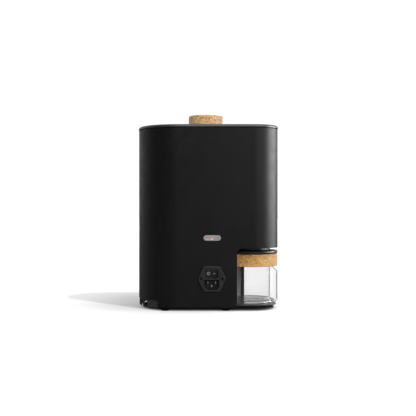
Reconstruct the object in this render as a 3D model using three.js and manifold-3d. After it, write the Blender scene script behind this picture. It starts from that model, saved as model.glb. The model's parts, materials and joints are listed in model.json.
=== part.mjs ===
// Hot-air home coffee roaster: a tall round-ended housing that stands on a narrow end-to-end base.
// Millimetres, +Z up. The mains inlet is on the rear face (+Y), the chaff jar stands at the -X end.
import * as THREE from 'three';
import { mergeVertices } from 'three/addons/utils/BufferGeometryUtils.js';
import Module from 'manifold-3d';

const wasm = await Module();
wasm.setup();

// ---------------------------------------------------------------- driving dimensions

const GAP = 0.3;                 // air left between touching pieces
const VISIBLE_STEPS = 32;        // facets round a turned piece that shows
const HIDDEN_STEPS = 16;         // facets round a turned piece inside the housing
const ARC_STEPS = 10;            // facets in a quarter of a rounded outline
const FAR = 200;                 // how far a cutting tool runs past what it cuts

// housing footprint: the jar end has tighter corners than the intake end
const SHELL = { x0: -128, x1: 130.1, y0: -81.8, y1: 78.2, z0: 6, z1: 330, wall: 2 };
const JAR_END_RADIUS = 46;
const INTAKE_END_RADIUS = 76;
const MID_Y = (SHELL.y0 + SHELL.y1) / 2;

const LID = { z0: 330.5, skin: 333.4, edge: 334, z1: 336.4, proud: 0.8 };
const DECK = { z0: 113.6, z1: 116.4 };
const BASE = { z0: 2.2, z1: 6.4, inset: 6.5 };
const TRAY = { z0: 6.7, z1: 10.4, inset: 3, end: 86 };

const JAR = { x: -78.3, radius: 52.5, z0: TRAY.z1 + GAP, shoulder: 66.8, neck: 44.7, top: 97 };
const INNER_JAR = { radius: 38.5, z0: 15.2, wall: 1.8 };
const JAR_SKIRT = 34.3;          // bore of the chaff lid's skirt
const COLLAR = { z0: 77.2, z1: 100 };
const CHAFF_LID = { z0: 100.3, z1: 106.6, hole: 16 };
const CHAFF_FILTER = { z0: 95, z1: 96.2, holes: 8, holeRadius: 5.4, holeRing: 26 };
const BAY = { rearEdge: -51.8, frontEdge: -70.1, top: 113, corner: 10.8, wall: 2, clearance: 4 };
const NECK_RADIUS = 37.8;

const DOSER = { x: 4.9, cork: 32, corkTop: 358.4, cup: 29, cupWall: 2, cupBottom: 292, hole: 30 };
const WELL = { z0: 262, throat: 18, wall: 2 };
const HEAD = { z0: 222, z1: 257.6, radius: 33, wall: 2 };
const CHAMBER = { z0: 165.6, radius: 31, wall: 1.6 };
const HEATER = { z0: 117, z1: 162, radius: 27, wall: 1.6 };
const AIR_DUCT = { radius: 12, wall: 1.6 };
const DISCHARGE = { z: 240, radius: 16.5, wall: 1.8, bend: 30 };

const BLOWER = { x: 62, z0: 24, z1: 52, radius: 38, wall: 2, outletY: 25 };
const MOTOR = { z1: 102, radius: 24, shaft: 3 };

// mains inlet: sizes are half widths and half heights about its own centre
const INLET = { x: -6.2, z: 57.9, halfWidth: 14.4, halfHeight: 21.6, depth: 30, face: 2, screwX: 19.3 };
const FLANGE = { pointX: 22, cornerX: 12.8, cornerZ: 20, radius: 3, slant: 20 };
const SWITCH = { z: 9.3, halfWidth: 10.9, halfHeight: 7, depth: 14 };
const SOCKET = { z: -10.5, halfWidth: 13.2, halfHeight: 9.2, chamfer: 4.6, depth: 12 };
const SCREW = { shaft: 1.4, hole: 1.8, head: 2.6, tip: -7 };
const PIN = { halfWidth: 1, halfHeight: 2, x: 7, upperZ: -6.8, earthZ: -13.2, y0: -38, y1: -4.5 };
const ROCKER = { length: 19.4, height: 13.4, pivotY: -2, tilt: 8 };

const BADGE = { x: -7, z: 131.6, width: 31.2, height: 9.9, thickness: 0.8 };
const PANEL = { x: 34, buttonZ: 262, buttonRadius: 9, ringRadius: 12.2, windowZ: 290 };
const WINDOW = { width: 46, height: 12, depth: 5, proud: 0.4 };
const VENT = { x0: 91.2, z1: 18.5, corner: 5 };
const GRILLE = { inset: 0.9, wall: 1.8, slotHalf: 5.2, pitch: 11, reach: 38.5 };
const FOOT = { radius: 7, height: 1.9, xs: [78.2, -31.8], fromEdge: 14 };
const DECK_POSTS = [[-38, 66], [-38, -69.6], [80, 46], [80, -49.6]];

// ---------------------------------------------------------------- solids

// Merges a closed geometry's shared vertices, drops empty triangles and turns its faces outwards.
function toSolid(geometry) {
  const bare = geometry.index ? geometry.toNonIndexed() : geometry.clone();
  bare.deleteAttribute('normal');
  bare.deleteAttribute('uv');
  const merged = mergeVertices(bare, 1e-4);
  const position = merged.attributes.position.array;
  const index = merged.index.array;
  const kept = [];
  let volume = 0;
  for (let i = 0; i < index.length; i += 3) {
    const [a, b, c] = [index[i], index[i + 1], index[i + 2]];
    if (a !== b && b !== c && c !== a) {
      const [p, q, r] = [a, b, c].map((v) => new THREE.Vector3().fromArray(position, v * 3));
      volume += p.dot(q.cross(r));
      kept.push(a, b, c);
    }
  }
  if (volume < 0) {
    kept.reverse();
  }
  const mesh = new wasm.Mesh({
    numProp: 3,
    vertProperties: new Float32Array(position),
    triVerts: new Uint32Array(kept),
  });
  mesh.merge();
  return new wasm.Manifold(mesh);
}

function toGeometry(solid) {
  const mesh = solid.getMesh();
  const geometry = new THREE.BufferGeometry();
  geometry.setAttribute('position', new THREE.BufferAttribute(mesh.vertProperties, 3));
  geometry.setIndex(new THREE.BufferAttribute(mesh.triVerts, 1));
  geometry.computeVertexNormals();
  return geometry;
}

function cut(solid, ...tools) {
  return tools.reduce((rest, tool) => rest.subtract(tool), solid);
}

function join(first, ...others) {
  return others.reduce((sum, other) => sum.add(other), first);
}

// A closed body through a stack of outlines that all have the same number of points.
function layered(levels) {
  const count = levels[0].points.length;
  const clockwise = THREE.ShapeUtils.isClockWise(levels[0].points);
  const outlines = levels.map(({ points }) => (clockwise ? [...points].reverse() : points));
  const vertices = outlines.flatMap((points, i) => points.flatMap((p) => [p.x, p.y, levels[i].z]));
  const index = [];
  for (let level = 0; level < levels.length - 1; level += 1) {
    for (let i = 0; i < count; i += 1) {
      const next = (i + 1) % count;
      const low = level * count;
      const high = low + count;
      index.push(low + i, low + next, high + next, low + i, high + next, high + i);
    }
  }
  const last = (levels.length - 1) * count;
  for (const [a, b, c] of THREE.ShapeUtils.triangulateShape(outlines[0], [])) {
    index.push(c, b, a);
  }
  for (const [a, b, c] of THREE.ShapeUtils.triangulateShape(outlines.at(-1), [])) {
    index.push(last + a, last + b, last + c);
  }
  const geometry = new THREE.BufferGeometry();
  geometry.setAttribute('position', new THREE.Float32BufferAttribute(vertices, 3));
  geometry.setIndex(index);
  return toSolid(geometry);
}

function prism(points, z0, z1) {
  return layered([{ points, z: z0 }, { points, z: z1 }]);
}

// A prism whose outline is drawn in X and Z and which runs along Y.
function prismAlongY(points, y0, y1) {
  const shape = new THREE.Shape(points);
  const geometry = new THREE.ExtrudeGeometry(shape, { depth: y1 - y0, bevelEnabled: false });
  geometry.rotateX(Math.PI / 2);
  geometry.translate(0, y1, 0);
  return toSolid(geometry);
}

// A body turned about Z from a profile of [radius, z] corners; a ring's profile closes on itself.
function turned(profile, steps = VISIBLE_STEPS) {
  const corners = profile.map(([radius, z]) => new THREE.Vector2(radius, z));
  const closed = corners[0].x > 0 ? [...corners, corners[0].clone()] : corners;
  const geometry = new THREE.LatheGeometry(closed, steps);
  geometry.rotateX(Math.PI / 2);
  return toSolid(geometry);
}

function ring(inner, outer, z0, z1, steps = HIDDEN_STEPS) {
  return turned([[inner, z0], [outer, z0], [outer, z1], [inner, z1]], steps);
}

function rod(radius, z0, z1, steps = HIDDEN_STEPS) {
  return turned([[0, z0], [radius, z0], [radius, z1], [0, z1]], steps);
}

function block(x0, x1, y0, y1, z0, z1) {
  const geometry = new THREE.BoxGeometry(x1 - x0, y1 - y0, z1 - z0);
  geometry.translate((x0 + x1) / 2, (y0 + y1) / 2, (z0 + z1) / 2);
  return toSolid(geometry);
}

// The same solid, moved or turned: used for cutting tools that sit off the axis they are made on.
function placed(solid, { x = 0, y = 0, z = 0, turnX = 0, turnY = 0, turnZ = 0 }) {
  const geometry = toGeometry(solid);
  geometry.rotateX(turnX);
  geometry.rotateY(turnY);
  geometry.rotateZ(turnZ);
  geometry.translate(x, y, z);
  return toSolid(geometry);
}

// A round bar along a curve.
function swept(curve, radius, steps, sides = 8) {
  const section = new THREE.Shape(circle(0, 0, radius, sides));
  const options = { steps, extrudePath: curve, bevelEnabled: false };
  return toSolid(new THREE.ExtrudeGeometry(section, options));
}

// ---------------------------------------------------------------- outlines

function arc(cx, cy, radius, fromDegrees, toDegrees, steps = ARC_STEPS) {
  const points = [];
  for (let i = 0; i <= steps; i += 1) {
    const angle = THREE.MathUtils.degToRad(fromDegrees + ((toDegrees - fromDegrees) * i) / steps);
    points.push(new THREE.Vector2(cx + radius * Math.cos(angle), cy + radius * Math.sin(angle)));
  }
  return points;
}

// The housing's outline seen from above, drawn in from its own edge by the given amount.
function footprint(inset) {
  const x0 = SHELL.x0 + inset;
  const x1 = SHELL.x1 - inset;
  const y0 = SHELL.y0 + inset;
  const y1 = SHELL.y1 - inset;
  const small = JAR_END_RADIUS - inset;
  const large = INTAKE_END_RADIUS - inset;
  return [
    ...arc(x1 - large, y0 + large, large, -90, 0),
    ...arc(x1 - large, y1 - large, large, 0, 90),
    ...arc(x0 + small, y1 - small, small, 90, 180),
    ...arc(x0 + small, y0 + small, small, 180, 270),
  ];
}

function roundedRectangle(width, height, radius, steps = 4) {
  const x = width / 2 - radius;
  const y = height / 2 - radius;
  return [
    ...arc(x, -y, radius, -90, 0, steps),
    ...arc(x, y, radius, 0, 90, steps),
    ...arc(-x, y, radius, 90, 180, steps),
    ...arc(-x, -y, radius, 180, 270, steps),
  ];
}

function circle(cx, cy, radius, steps = VISIBLE_STEPS) {
  return arc(cx, cy, radius, 0, 360, steps).slice(0, -1);
}

function moved(points, x, y) {
  return points.map((p) => new THREE.Vector2(p.x + x, p.y + y));
}

function corners(list) {
  return list.map(([x, y]) => new THREE.Vector2(x, y));
}

// ---------------------------------------------------------------- materials

const LOOKS = {
  black_coat: { color: 0x1b1b1b, roughness: 0.5, metalness: 0 },
  black_plastic: { color: 0x1e1e1e, roughness: 0.45, metalness: 0 },
  gloss_black: { color: 0x0c0c0c, roughness: 0.12, metalness: 0 },
  cork: { color: 0xc39a66, roughness: 0.85, metalness: 0 },
  glass: { color: 0xeef3f3, roughness: 0.05, metalness: 0, transparent: true, opacity: 0.3 },
  rubber: { color: 0x161616, roughness: 0.8, metalness: 0 },
  steel: { color: 0xb4b6b8, roughness: 0.35, metalness: 1 },
  dark_steel: { color: 0x2b2b2b, roughness: 0.45, metalness: 1 },
  aluminium: { color: 0xc2c4c6, roughness: 0.4, metalness: 1 },
  heater_wire: { color: 0x6f6a66, roughness: 0.5, metalness: 1 },
  plated_brass: { color: 0xc9c6bd, roughness: 0.3, metalness: 1 },
  badge: { color: 0x838583, roughness: 0.5, metalness: 0 },
  board: { color: 0x1f5b3a, roughness: 0.6, metalness: 0 },
  mica: { color: 0xb9ab92, roughness: 0.7, metalness: 0 },
  light: { color: 0xe9e6df, roughness: 0.4, metalness: 0 },
};

function piece(name, look, solid) {
  const mesh = new THREE.Mesh(toGeometry(solid), new THREE.MeshStandardMaterial(LOOKS[look]));
  mesh.name = name;
  return mesh;
}

// ---------------------------------------------------------------- housing

// Cutting tool for the jar's bay: it reaches further along the rear face than along the front face.
function bayCutter(edge, y0, y1) {
  const { top, corner } = BAY;
  const outline = [
    ...corners([[-FAR, -FAR], [edge, -FAR]]),
    ...arc(edge - corner, top - corner, corner, 0, 90, 6),
    new THREE.Vector2(-FAR, top),
  ];
  return prismAlongY(outline, y0, y1);
}

function ventCutter(margin) {
  const x0 = VENT.x0 + margin;
  const z1 = VENT.z1 - margin;
  const outline = [
    ...corners([[x0, -FAR], [FAR, -FAR], [FAR, z1]]),
    ...arc(x0 + VENT.corner, z1 - VENT.corner, VENT.corner, 90, 180, 4),
  ];
  return prismAlongY(outline, -FAR, FAR);
}

function outerShell() {
  const body = cut(
    prism(footprint(0), SHELL.z0, SHELL.z1),
    prism(footprint(SHELL.wall), -FAR, 2 * FAR),
    bayCutter(BAY.rearEdge, 0, FAR),
    bayCutter(BAY.frontEdge, -FAR, 0),
    ventCutter(0),
  );
  const inletOutline = roundedRectangle(2 * (INLET.halfWidth + 0.6), 2 * (INLET.halfHeight + 0.6), 2);
  const rearTools = [
    moved(inletOutline, INLET.x, INLET.z),
    circle(INLET.x - INLET.screwX, INLET.z, 2, 10),
    circle(INLET.x + INLET.screwX, INLET.z, 2, 10),
  ].map((outline) => prismAlongY(outline, 0, FAR));
  const windowOutline = roundedRectangle(WINDOW.width + 2 * GAP, WINDOW.height + 2 * GAP, 6.2);
  const frontTools = [
    moved(windowOutline, PANEL.x, PANEL.windowZ),
    circle(PANEL.x, PANEL.buttonZ, PANEL.ringRadius + GAP),
  ].map((outline) => prismAlongY(outline, -FAR, 0));
  return piece('outer_shell', 'black_coat', cut(body, ...rearTools, ...frontTools));
}

function topPlate() {
  const plate = layered([
    { points: footprint(-LID.proud), z: LID.z0 },
    { points: footprint(-LID.proud), z: LID.edge },
    { points: footprint(0.1 - LID.proud), z: LID.edge + 1.1 },
    { points: footprint(0.9 - LID.proud), z: LID.z1 - 0.3 },
    { points: footprint(1.8 - LID.proud), z: LID.z1 },
  ]);
  const underside = prism(footprint(SHELL.wall), LID.z0 - 1, LID.skin);
  const doserHole = prism(circle(DOSER.x, MID_Y, DOSER.hole), LID.z0 - 1, LID.z1 + 1);
  return piece('top_plate', 'black_coat', cut(plate, underside, doserHole));
}

function rearBadge() {
  const { x, z, width, height, thickness } = BADGE;
  const outline = moved(roundedRectangle(width, height, height / 2 - 0.1, 6), x, z);
  const back = SHELL.y1 + GAP;
  return piece('rear_badge', 'badge', prismAlongY(outline, back, back + thickness));
}

function basePlate() {
  const { z0, z1, inset } = BASE;
  const plate = layered([
    { points: footprint(inset + 1), z: z0 },
    { points: footprint(inset), z: z0 + 0.8 },
    { points: footprint(inset + 3.5), z: z1 },
  ]);
  return piece('base_plate', 'black_plastic', plate);
}

function baseTray() {
  const { z0, z1, inset, end } = TRAY;
  const slab = layered([
    { points: footprint(inset + 6), z: z0 },
    { points: footprint(inset), z: z1 - 0.8 },
    { points: footprint(inset + 0.5), z: z1 },
  ]);
  return piece('base_tray', 'black_plastic', cut(slab, block(end, FAR, -FAR, FAR, 0, FAR)));
}

// Wall behind the jar: straight from the rear opening, round the jar, straight to the front opening.
function bayLinerOutline(radius, rearX, frontX, reach) {
  const rearAngle = THREE.MathUtils.radToDeg(Math.acos((rearX - JAR.x) / radius));
  const frontAngle = THREE.MathUtils.radToDeg(Math.acos((frontX - JAR.x) / radius));
  return [
    new THREE.Vector2(rearX, MID_Y + reach),
    ...arc(JAR.x, MID_Y, radius, rearAngle, -frontAngle, 20),
    new THREE.Vector2(frontX, MID_Y - reach),
  ];
}

function bayLiner() {
  const radius = JAR.radius + BAY.clearance;
  const reach = (SHELL.y1 - SHELL.y0) / 2 - SHELL.wall - GAP;
  const jarSide = bayLinerOutline(radius, BAY.rearEdge - GAP, BAY.frontEdge - GAP, reach);
  const back = bayLinerOutline(
    radius + BAY.wall,
    BAY.rearEdge - GAP + BAY.wall,
    BAY.frontEdge - GAP + BAY.wall,
    reach,
  );
  const wall = prism([...jarSide, ...back.reverse()], TRAY.z1 + GAP, DECK.z0 - GAP);
  return piece('bay_liner', 'black_plastic', wall);
}

function midDeck() {
  const holes = [
    circle(JAR.x, MID_Y, DISCHARGE.radius + GAP, HIDDEN_STEPS),
    circle(DOSER.x, MID_Y, AIR_DUCT.radius + 1, HIDDEN_STEPS),
    circle(40, 52, 6, 12),
  ].map((outline) => prism(outline, DECK.z0 - 1, DECK.z1 + 1));
  const deck = cut(prism(footprint(SHELL.wall + GAP), DECK.z0, DECK.z1), ...holes);
  return piece('mid_deck', 'steel', deck);
}

function intakeGrille() {
  const { inset, wall, slotHalf, pitch, reach } = GRILLE;
  const strip = cut(
    prism(footprint(inset), SHELL.z0 - 0.8, VENT.z1 + 5),
    prism(footprint(inset + wall), 0, FAR),
  ).intersect(ventCutter(GAP));
  const centre = { x: SHELL.x1 - INTAKE_END_RADIUS, y: MID_Y };
  const slots = [];
  for (let angle = -reach; angle <= reach; angle += pitch) {
    const slot = block(60, 90, -slotHalf, slotHalf, SHELL.z0 + 0.8, VENT.z1 - 2.2);
    slots.push(placed(slot, { ...centre, turnZ: THREE.MathUtils.degToRad(angle) }));
  }
  return piece('intake_grille', 'black_plastic', cut(strip, ...slots));
}

function feet() {
  const { radius, height, xs, fromEdge } = FOOT;
  const profile = [[0, 0], [radius - 0.6, 0], [radius, 0.6], [radius, height], [0, height]];
  const reach = (SHELL.y1 - SHELL.y0) / 2 - fromEdge;
  const list = [];
  for (const x of xs) {
    for (const side of [1, -1]) {
      const foot = piece(`foot_${list.length + 1}`, 'rubber', turned(profile, 20));
      foot.position.set(x, MID_Y + side * reach, 0);
      list.push(foot);
    }
  }
  return list;
}

function baseScrews() {
  const profile = [[0, 1], [2.2, 1], [3, 1.9], [0, 1.9]];
  const list = [];
  for (const x of [100, -60]) {
    for (const y of [MID_Y + 35, MID_Y - 35]) {
      const screw = piece(`base_screw_${list.length + 1}`, 'steel', turned(profile, 12));
      screw.position.set(x, y, 0);
      list.push(screw);
    }
  }
  return list;
}

// Uprights that carry the deck over the base tray.
function deckPosts() {
  return DECK_POSTS.map(([x, y], i) => {
    const post = piece(`deck_post_${i + 1}`, 'steel', rod(4, 0, DECK.z0 - TRAY.z1 - 2 * GAP, 12));
    post.position.set(x, y, TRAY.z1 + GAP);
    return post;
  });
}

// ---------------------------------------------------------------- mains inlet with its switch

// Everything here is drawn about the inlet's centre: X across, Y out of the rear face, Z up.
const PINS = [
  ['inlet_pin_line', PIN.x, PIN.upperZ],
  ['inlet_pin_neutral', -PIN.x, PIN.upperZ],
  ['inlet_pin_earth', 0, PIN.earthZ],
];

// Six-sided flange with its two side points at mid height.
function flangeOutline() {
  const { pointX, cornerX, cornerZ, radius, slant } = FLANGE;
  const turn = slant + 2;
  return [
    ...arc(cornerX, -cornerZ, radius, -90, -slant, 3),
    ...arc(pointX, 0, radius, -turn, turn, 3),
    ...arc(cornerX, cornerZ, radius, slant, 90, 3),
    ...arc(-cornerX, cornerZ, radius, 90, 180 - slant, 3),
    ...arc(-pointX, 0, radius, 180 - turn, 180 + turn, 3),
    ...arc(-cornerX, -cornerZ, radius, 180 + slant, 270, 3),
  ];
}

// Outline of the connector's socket: a rectangle with its two lower corners cut off.
function socketOutline() {
  const { halfWidth, halfHeight, chamfer } = SOCKET;
  const innerX = halfWidth - chamfer;
  const innerZ = halfHeight - chamfer;
  return corners([
    [-halfWidth, halfHeight],
    [-halfWidth, -innerZ],
    [-innerX, -halfHeight],
    [innerX, -halfHeight],
    [halfWidth, -innerZ],
    [halfWidth, halfHeight],
  ]);
}

function inletHousing() {
  const { halfWidth, halfHeight, depth, face, screwX } = INLET;
  const flange = prismAlongY(flangeOutline(), GAP, face);
  const backBox = block(-halfWidth, halfWidth, -depth, face - 0.5, -halfHeight, halfHeight);
  const switchHole = block(
    -SWITCH.halfWidth,
    SWITCH.halfWidth,
    -SWITCH.depth,
    10,
    SWITCH.z - SWITCH.halfHeight,
    SWITCH.z + SWITCH.halfHeight,
  );
  const socketHole = prismAlongY(moved(socketOutline(), 0, SOCKET.z), -SOCKET.depth, 10);
  const countersink = turned([
    [0, -10], [SCREW.hole, -10], [SCREW.hole, GAP],
    [SCREW.head + GAP, face], [SCREW.head + GAP, 10], [0, 10],
  ], 14);
  const screwHoles = [-screwX, screwX].map((x) => placed(countersink, { x, turnX: -Math.PI / 2 }));
  const width = PIN.halfWidth + GAP;
  const height = PIN.halfHeight + GAP;
  const pinHoles = PINS.map(([, x, z]) => {
    return block(x - width, x + width, -depth - 10, 0, z - height, z + height);
  });
  const housing = cut(join(flange, backBox), switchHole, socketHole, ...screwHoles, ...pinHoles);
  return piece('inlet_housing', 'black_plastic', housing);
}

function inletPin([name, x, z]) {
  const { halfWidth, halfHeight, y0, y1 } = PIN;
  const blade = block(x - halfWidth, x + halfWidth, y0, y1, z - halfHeight, z + halfHeight);
  return piece(name, 'plated_brass', blade);
}

// Countersunk screw, its head just below the flange's face.
function inletScrew(name, x) {
  const { shaft, head, tip } = SCREW;
  const crown = INLET.face - 0.2;
  const profile = [[0, tip], [shaft, tip], [shaft, GAP], [head, crown], [0, crown]];
  const screw = piece(name, 'dark_steel', turned(profile, 14));
  screw.rotation.x = -Math.PI / 2;
  screw.position.x = x;
  return screw;
}

function powerRocker() {
  const { length, height, pivotY, tilt } = ROCKER;
  const outline = corners([
    [-length / 2, 5],
    [0, 3.6],
    [length / 2, 5],
    [9, -2],
    [4.5, -6.5],
    [-4.5, -6.5],
    [-9, -2],
  ]);
  const rocker = piece('power_rocker', 'black_plastic', prism(outline, -height / 2, height / 2));
  rocker.position.set(0, pivotY, SWITCH.z);
  rocker.rotation.z = -THREE.MathUtils.degToRad(tilt);
  return rocker;
}

function inletGroup() {
  const group = new THREE.Group();
  group.position.set(INLET.x, SHELL.y1, INLET.z);
  group.add(
    inletHousing(),
    ...PINS.map(inletPin),
    inletScrew('inlet_screw_left', INLET.screwX),
    inletScrew('inlet_screw_right', -INLET.screwX),
    powerRocker(),
  );
  return group;
}

// ---------------------------------------------------------------- chaff jar, drawn about its own axis

function jarOuterGlass() {
  const { radius, z0, shoulder, neck, top } = JAR;
  const wall = 2;
  return piece('jar_outer_glass', 'glass', turned([
    [0, z0], [46.5, z0], [50, z0 + 1.2], [52, z0 + 3.6], [radius, z0 + 6.5],
    [radius, shoulder], [radius - 1, shoulder + 2], [neck + 0.6, shoulder + 7.6], [neck, shoulder + 9.4],
    [neck, top], [neck - wall, top],
    [neck - wall, shoulder + 8.8], [radius - wall - 1, shoulder + 1.4], [radius - wall, shoulder - 0.6],
    [radius - wall, z0 + 7], [49.2, z0 + 4], [46, z0 + 2.4], [0, z0 + 2.4],
  ]));
}

function jarInnerGlass() {
  const { radius, z0, wall } = INNER_JAR;
  return piece('jar_inner_glass', 'glass', turned([
    [0, z0], [32, z0], [36.6, z0 + 1.9], [radius, z0 + 6.5], [radius, JAR.top],
    [radius - wall, JAR.top], [radius - wall, z0 + 6.8], [35.3, z0 + 3.3],
    [31.6, z0 + wall], [0, z0 + wall],
  ]));
}

// Perforated ring inside the lid's skirt.
function chaffFilter() {
  const { z0, z1, holes, holeRadius, holeRing } = CHAFF_FILTER;
  const disc = ring(CHAFF_LID.hole + 2, JAR_SKIRT - GAP, z0, z1, VISIBLE_STEPS);
  const tools = [];
  for (let i = 0; i < holes; i += 1) {
    const hole = placed(rod(holeRadius, z0 - 5, z1 + 5, 6), { x: holeRing });
    tools.push(placed(hole, { turnZ: (2 * Math.PI * i) / holes }));
  }
  return piece('chaff_filter', 'steel', cut(disc, ...tools));
}

function jarGroup() {
  const group = new THREE.Group();
  group.position.set(JAR.x, MID_Y, 0);
  const skirtOuter = INNER_JAR.radius - INNER_JAR.wall - GAP;

  const collar = turned([
    [JAR.neck + GAP, COLLAR.z0], [51.3, COLLAR.z0], [JAR.radius, COLLAR.z0 + 1.2],
    [JAR.radius, COLLAR.z1 - 1], [51.5, COLLAR.z1], [JAR.neck + GAP, COLLAR.z1],
  ]);
  const lid = turned([
    [CHAFF_LID.hole, CHAFF_LID.z0], [JAR_SKIRT, CHAFF_LID.z0], [JAR_SKIRT, 91],
    [skirtOuter, 91], [skirtOuter, CHAFF_LID.z0], [50.8, CHAFF_LID.z0],
    [52.1, CHAFF_LID.z0 + 1.2], [52.5, CHAFF_LID.z0 + 3.1], [52.1, CHAFF_LID.z0 + 4.8],
    [50.8, CHAFF_LID.z1], [CHAFF_LID.hole, CHAFF_LID.z1],
  ]);
  const sealRing = ring(INNER_JAR.radius + GAP, JAR.neck - 2 - GAP, 92, JAR.top, VISIBLE_STEPS);
  group.add(
    jarOuterGlass(),
    jarInnerGlass(),
    piece('jar_seal', 'rubber', sealRing),
    piece('cork_collar', 'cork', collar),
    piece('chaff_lid', 'black_plastic', lid),
    chaffFilter(),
  );
  return group;
}

function outletNeck() {
  const bore = DISCHARGE.radius - DISCHARGE.wall;
  const body = ring(bore, NECK_RADIUS, CHAFF_LID.z1 + GAP, DECK.z0 - GAP, VISIBLE_STEPS);
  const neck = piece('outlet_neck', 'black_plastic', body);
  neck.position.set(JAR.x, MID_Y, 0);
  return neck;
}

// ---------------------------------------------------------------- bean path, drawn about the doser's axis

function corkCap() {
  const { cork, corkTop, cup, cupWall } = DOSER;
  const plug = cup - cupWall - GAP;
  const rest = LID.z1 + GAP;
  return piece('cork_cap', 'cork', turned([
    [0, rest - 12], [plug, rest - 12], [plug, rest], [cork - 0.8, rest], [cork, rest + 0.8],
    [cork, corkTop - 2.6], [cork - 0.8, corkTop - 0.8], [cork - 2.6, corkTop], [0, corkTop],
  ]));
}

function doserCup() {
  const { cup, cupWall, cupBottom } = DOSER;
  const bore = cup - cupWall;
  const rim = LID.z1 - GAP;
  return piece('doser_cup', 'glass', turned([
    [0, cupBottom], [cup - 2, cupBottom], [cup, cupBottom + 2], [cup, rim],
    [bore, rim], [bore, cupBottom + 3], [bore - 1, cupBottom + 2], [0, cupBottom + 2],
  ], 24));
}

function doserGroup() {
  const group = new THREE.Group();
  group.position.set(DOSER.x, MID_Y, 0);
  group.add(corkCap(), doserCup());
  return group;
}

function inletWell() {
  const { z0, throat, wall } = WELL;
  const bore = DOSER.cup + 1.2;
  const flange = bore + 7;
  const flangeTop = LID.skin - GAP;
  return piece('inlet_well', 'black_plastic', turned([
    [throat, z0], [throat + wall, z0], [throat + wall, z0 + 5], [bore + wall, z0 + 20],
    [bore + wall, flangeTop - 3], [flange, flangeTop - 3], [flange, flangeTop],
    [bore, flangeTop], [bore, z0 + 21], [throat, z0 + 7],
  ], 20));
}

// Swinging disc that closes the well's throat; its pivot stands beside the throat.
function beanShutter() {
  const thickness = 2.4;
  const reach = 38;
  const disc = placed(rod(WELL.throat + 1.5, 0, thickness), { y: reach });
  const arm = block(-4, 4, 0, reach, 0, thickness);
  const boss = rod(5, 0, 8, 12);
  const shutter = piece('bean_shutter', 'steel', join(disc, arm, boss));
  shutter.position.set(0, -reach, WELL.z0 - GAP - thickness);
  return shutter;
}

function chamberHead() {
  const { z0, z1, radius, wall } = HEAD;
  const mouth = WELL.throat + 1;
  const hood = turned([
    [radius - wall, z0], [radius, z0], [radius, z1],
    [mouth, z1], [mouth, z1 - wall], [radius - wall, z1 - wall],
  ], 24);
  const { z } = DISCHARGE;
  const outlet = placed(rod(DISCHARGE.radius - DISCHARGE.wall, 0, 60), { z, turnY: -Math.PI / 2 });
  const probeHole = placed(rod(1.9, 0, 60, 8), { z, turnY: Math.PI / 2 });
  return piece('chamber_head', 'steel', cut(hood, outlet, probeHole));
}

function airPlate() {
  const disc = rod(CHAMBER.radius, HEATER.z1 + GAP, CHAMBER.z0 - GAP, 24);
  const holes = [];
  for (const [count, radius] of [[4, 9], [8, 20]]) {
    for (let i = 0; i < count; i += 1) {
      const hole = placed(rod(2.6, HEATER.z1 - 5, CHAMBER.z0 + 5, 6), { x: radius });
      holes.push(placed(hole, { turnZ: (2 * Math.PI * i) / count }));
    }
  }
  return piece('air_plate', 'steel', cut(disc, ...holes));
}

// Crossed mica sheets with the resistance wire wound round them.
function heaterFormer() {
  const bar = block(-18.4, 18.4, -0.6, 0.6, HEATER.z0 + 2, HEATER.z1 - 4);
  return piece('heater_former', 'mica', join(bar, placed(bar, { turnZ: Math.PI / 2 })));
}

class Helix extends THREE.Curve {
  constructor(radius, z0, z1, turns) {
    super();
    Object.assign(this, { radius, z0, z1, turns });
  }

  getPoint(t, target = new THREE.Vector3()) {
    const angle = 2 * Math.PI * this.turns * t;
    const z = this.z0 + (this.z1 - this.z0) * t;
    return target.set(this.radius * Math.cos(angle), this.radius * Math.sin(angle), z);
  }
}

function heaterShroud() {
  const { radius, wall, z0, z1 } = HEATER;
  const outer = CHAMBER.radius;
  return piece('heater_shroud', 'steel', turned([
    [radius - wall, z0], [radius, z0], [radius, z1 - 2],
    [outer, z1 - 2], [outer, z1], [radius - wall, z1],
  ], 24));
}

function heaterCoil() {
  const wire = new Helix(20.4, HEATER.z0 + 5, HEATER.z1 - 7, 4);
  return piece('heater_coil', 'heater_wire', swept(wire, 1.1, 44, 4));
}

function roastChamber() {
  const { radius, wall, z0 } = CHAMBER;
  return piece('roast_chamber', 'steel', ring(radius - wall, radius, z0, HEAD.z0 - GAP, 24));
}

function temperatureProbe() {
  const probe = piece('temperature_probe', 'steel', rod(1.5, 0, 34, 8));
  probe.position.set(14, 0, DISCHARGE.z);
  probe.rotation.y = Math.PI / 2;
  return probe;
}

function roastGroup() {
  const group = new THREE.Group();
  group.position.set(DOSER.x, MID_Y, 0);
  group.add(
    inletWell(),
    beanShutter(),
    chamberHead(),
    roastChamber(),
    airPlate(),
    heaterShroud(),
    heaterFormer(),
    heaterCoil(),
    temperatureProbe(),
  );
  return group;
}

// A hollow tube: the inner bar runs on past both ends of the outer one.
function tube(path, radius, wall, steps) {
  const length = path.getLength();
  const start = path.getPointAt(0).addScaledVector(path.getTangentAt(0), -2);
  const end = path.getPointAt(1).addScaledVector(path.getTangentAt(1), 2);
  const bore = new THREE.CurvePath();
  bore.add(new THREE.LineCurve3(start, path.getPointAt(0)));
  bore.add(path);
  bore.add(new THREE.LineCurve3(path.getPointAt(1), end));
  const boreSteps = Math.round((steps * (length + 4)) / length);
  return cut(swept(path, radius, steps), swept(bore, radius - wall, boreSteps));
}

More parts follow.
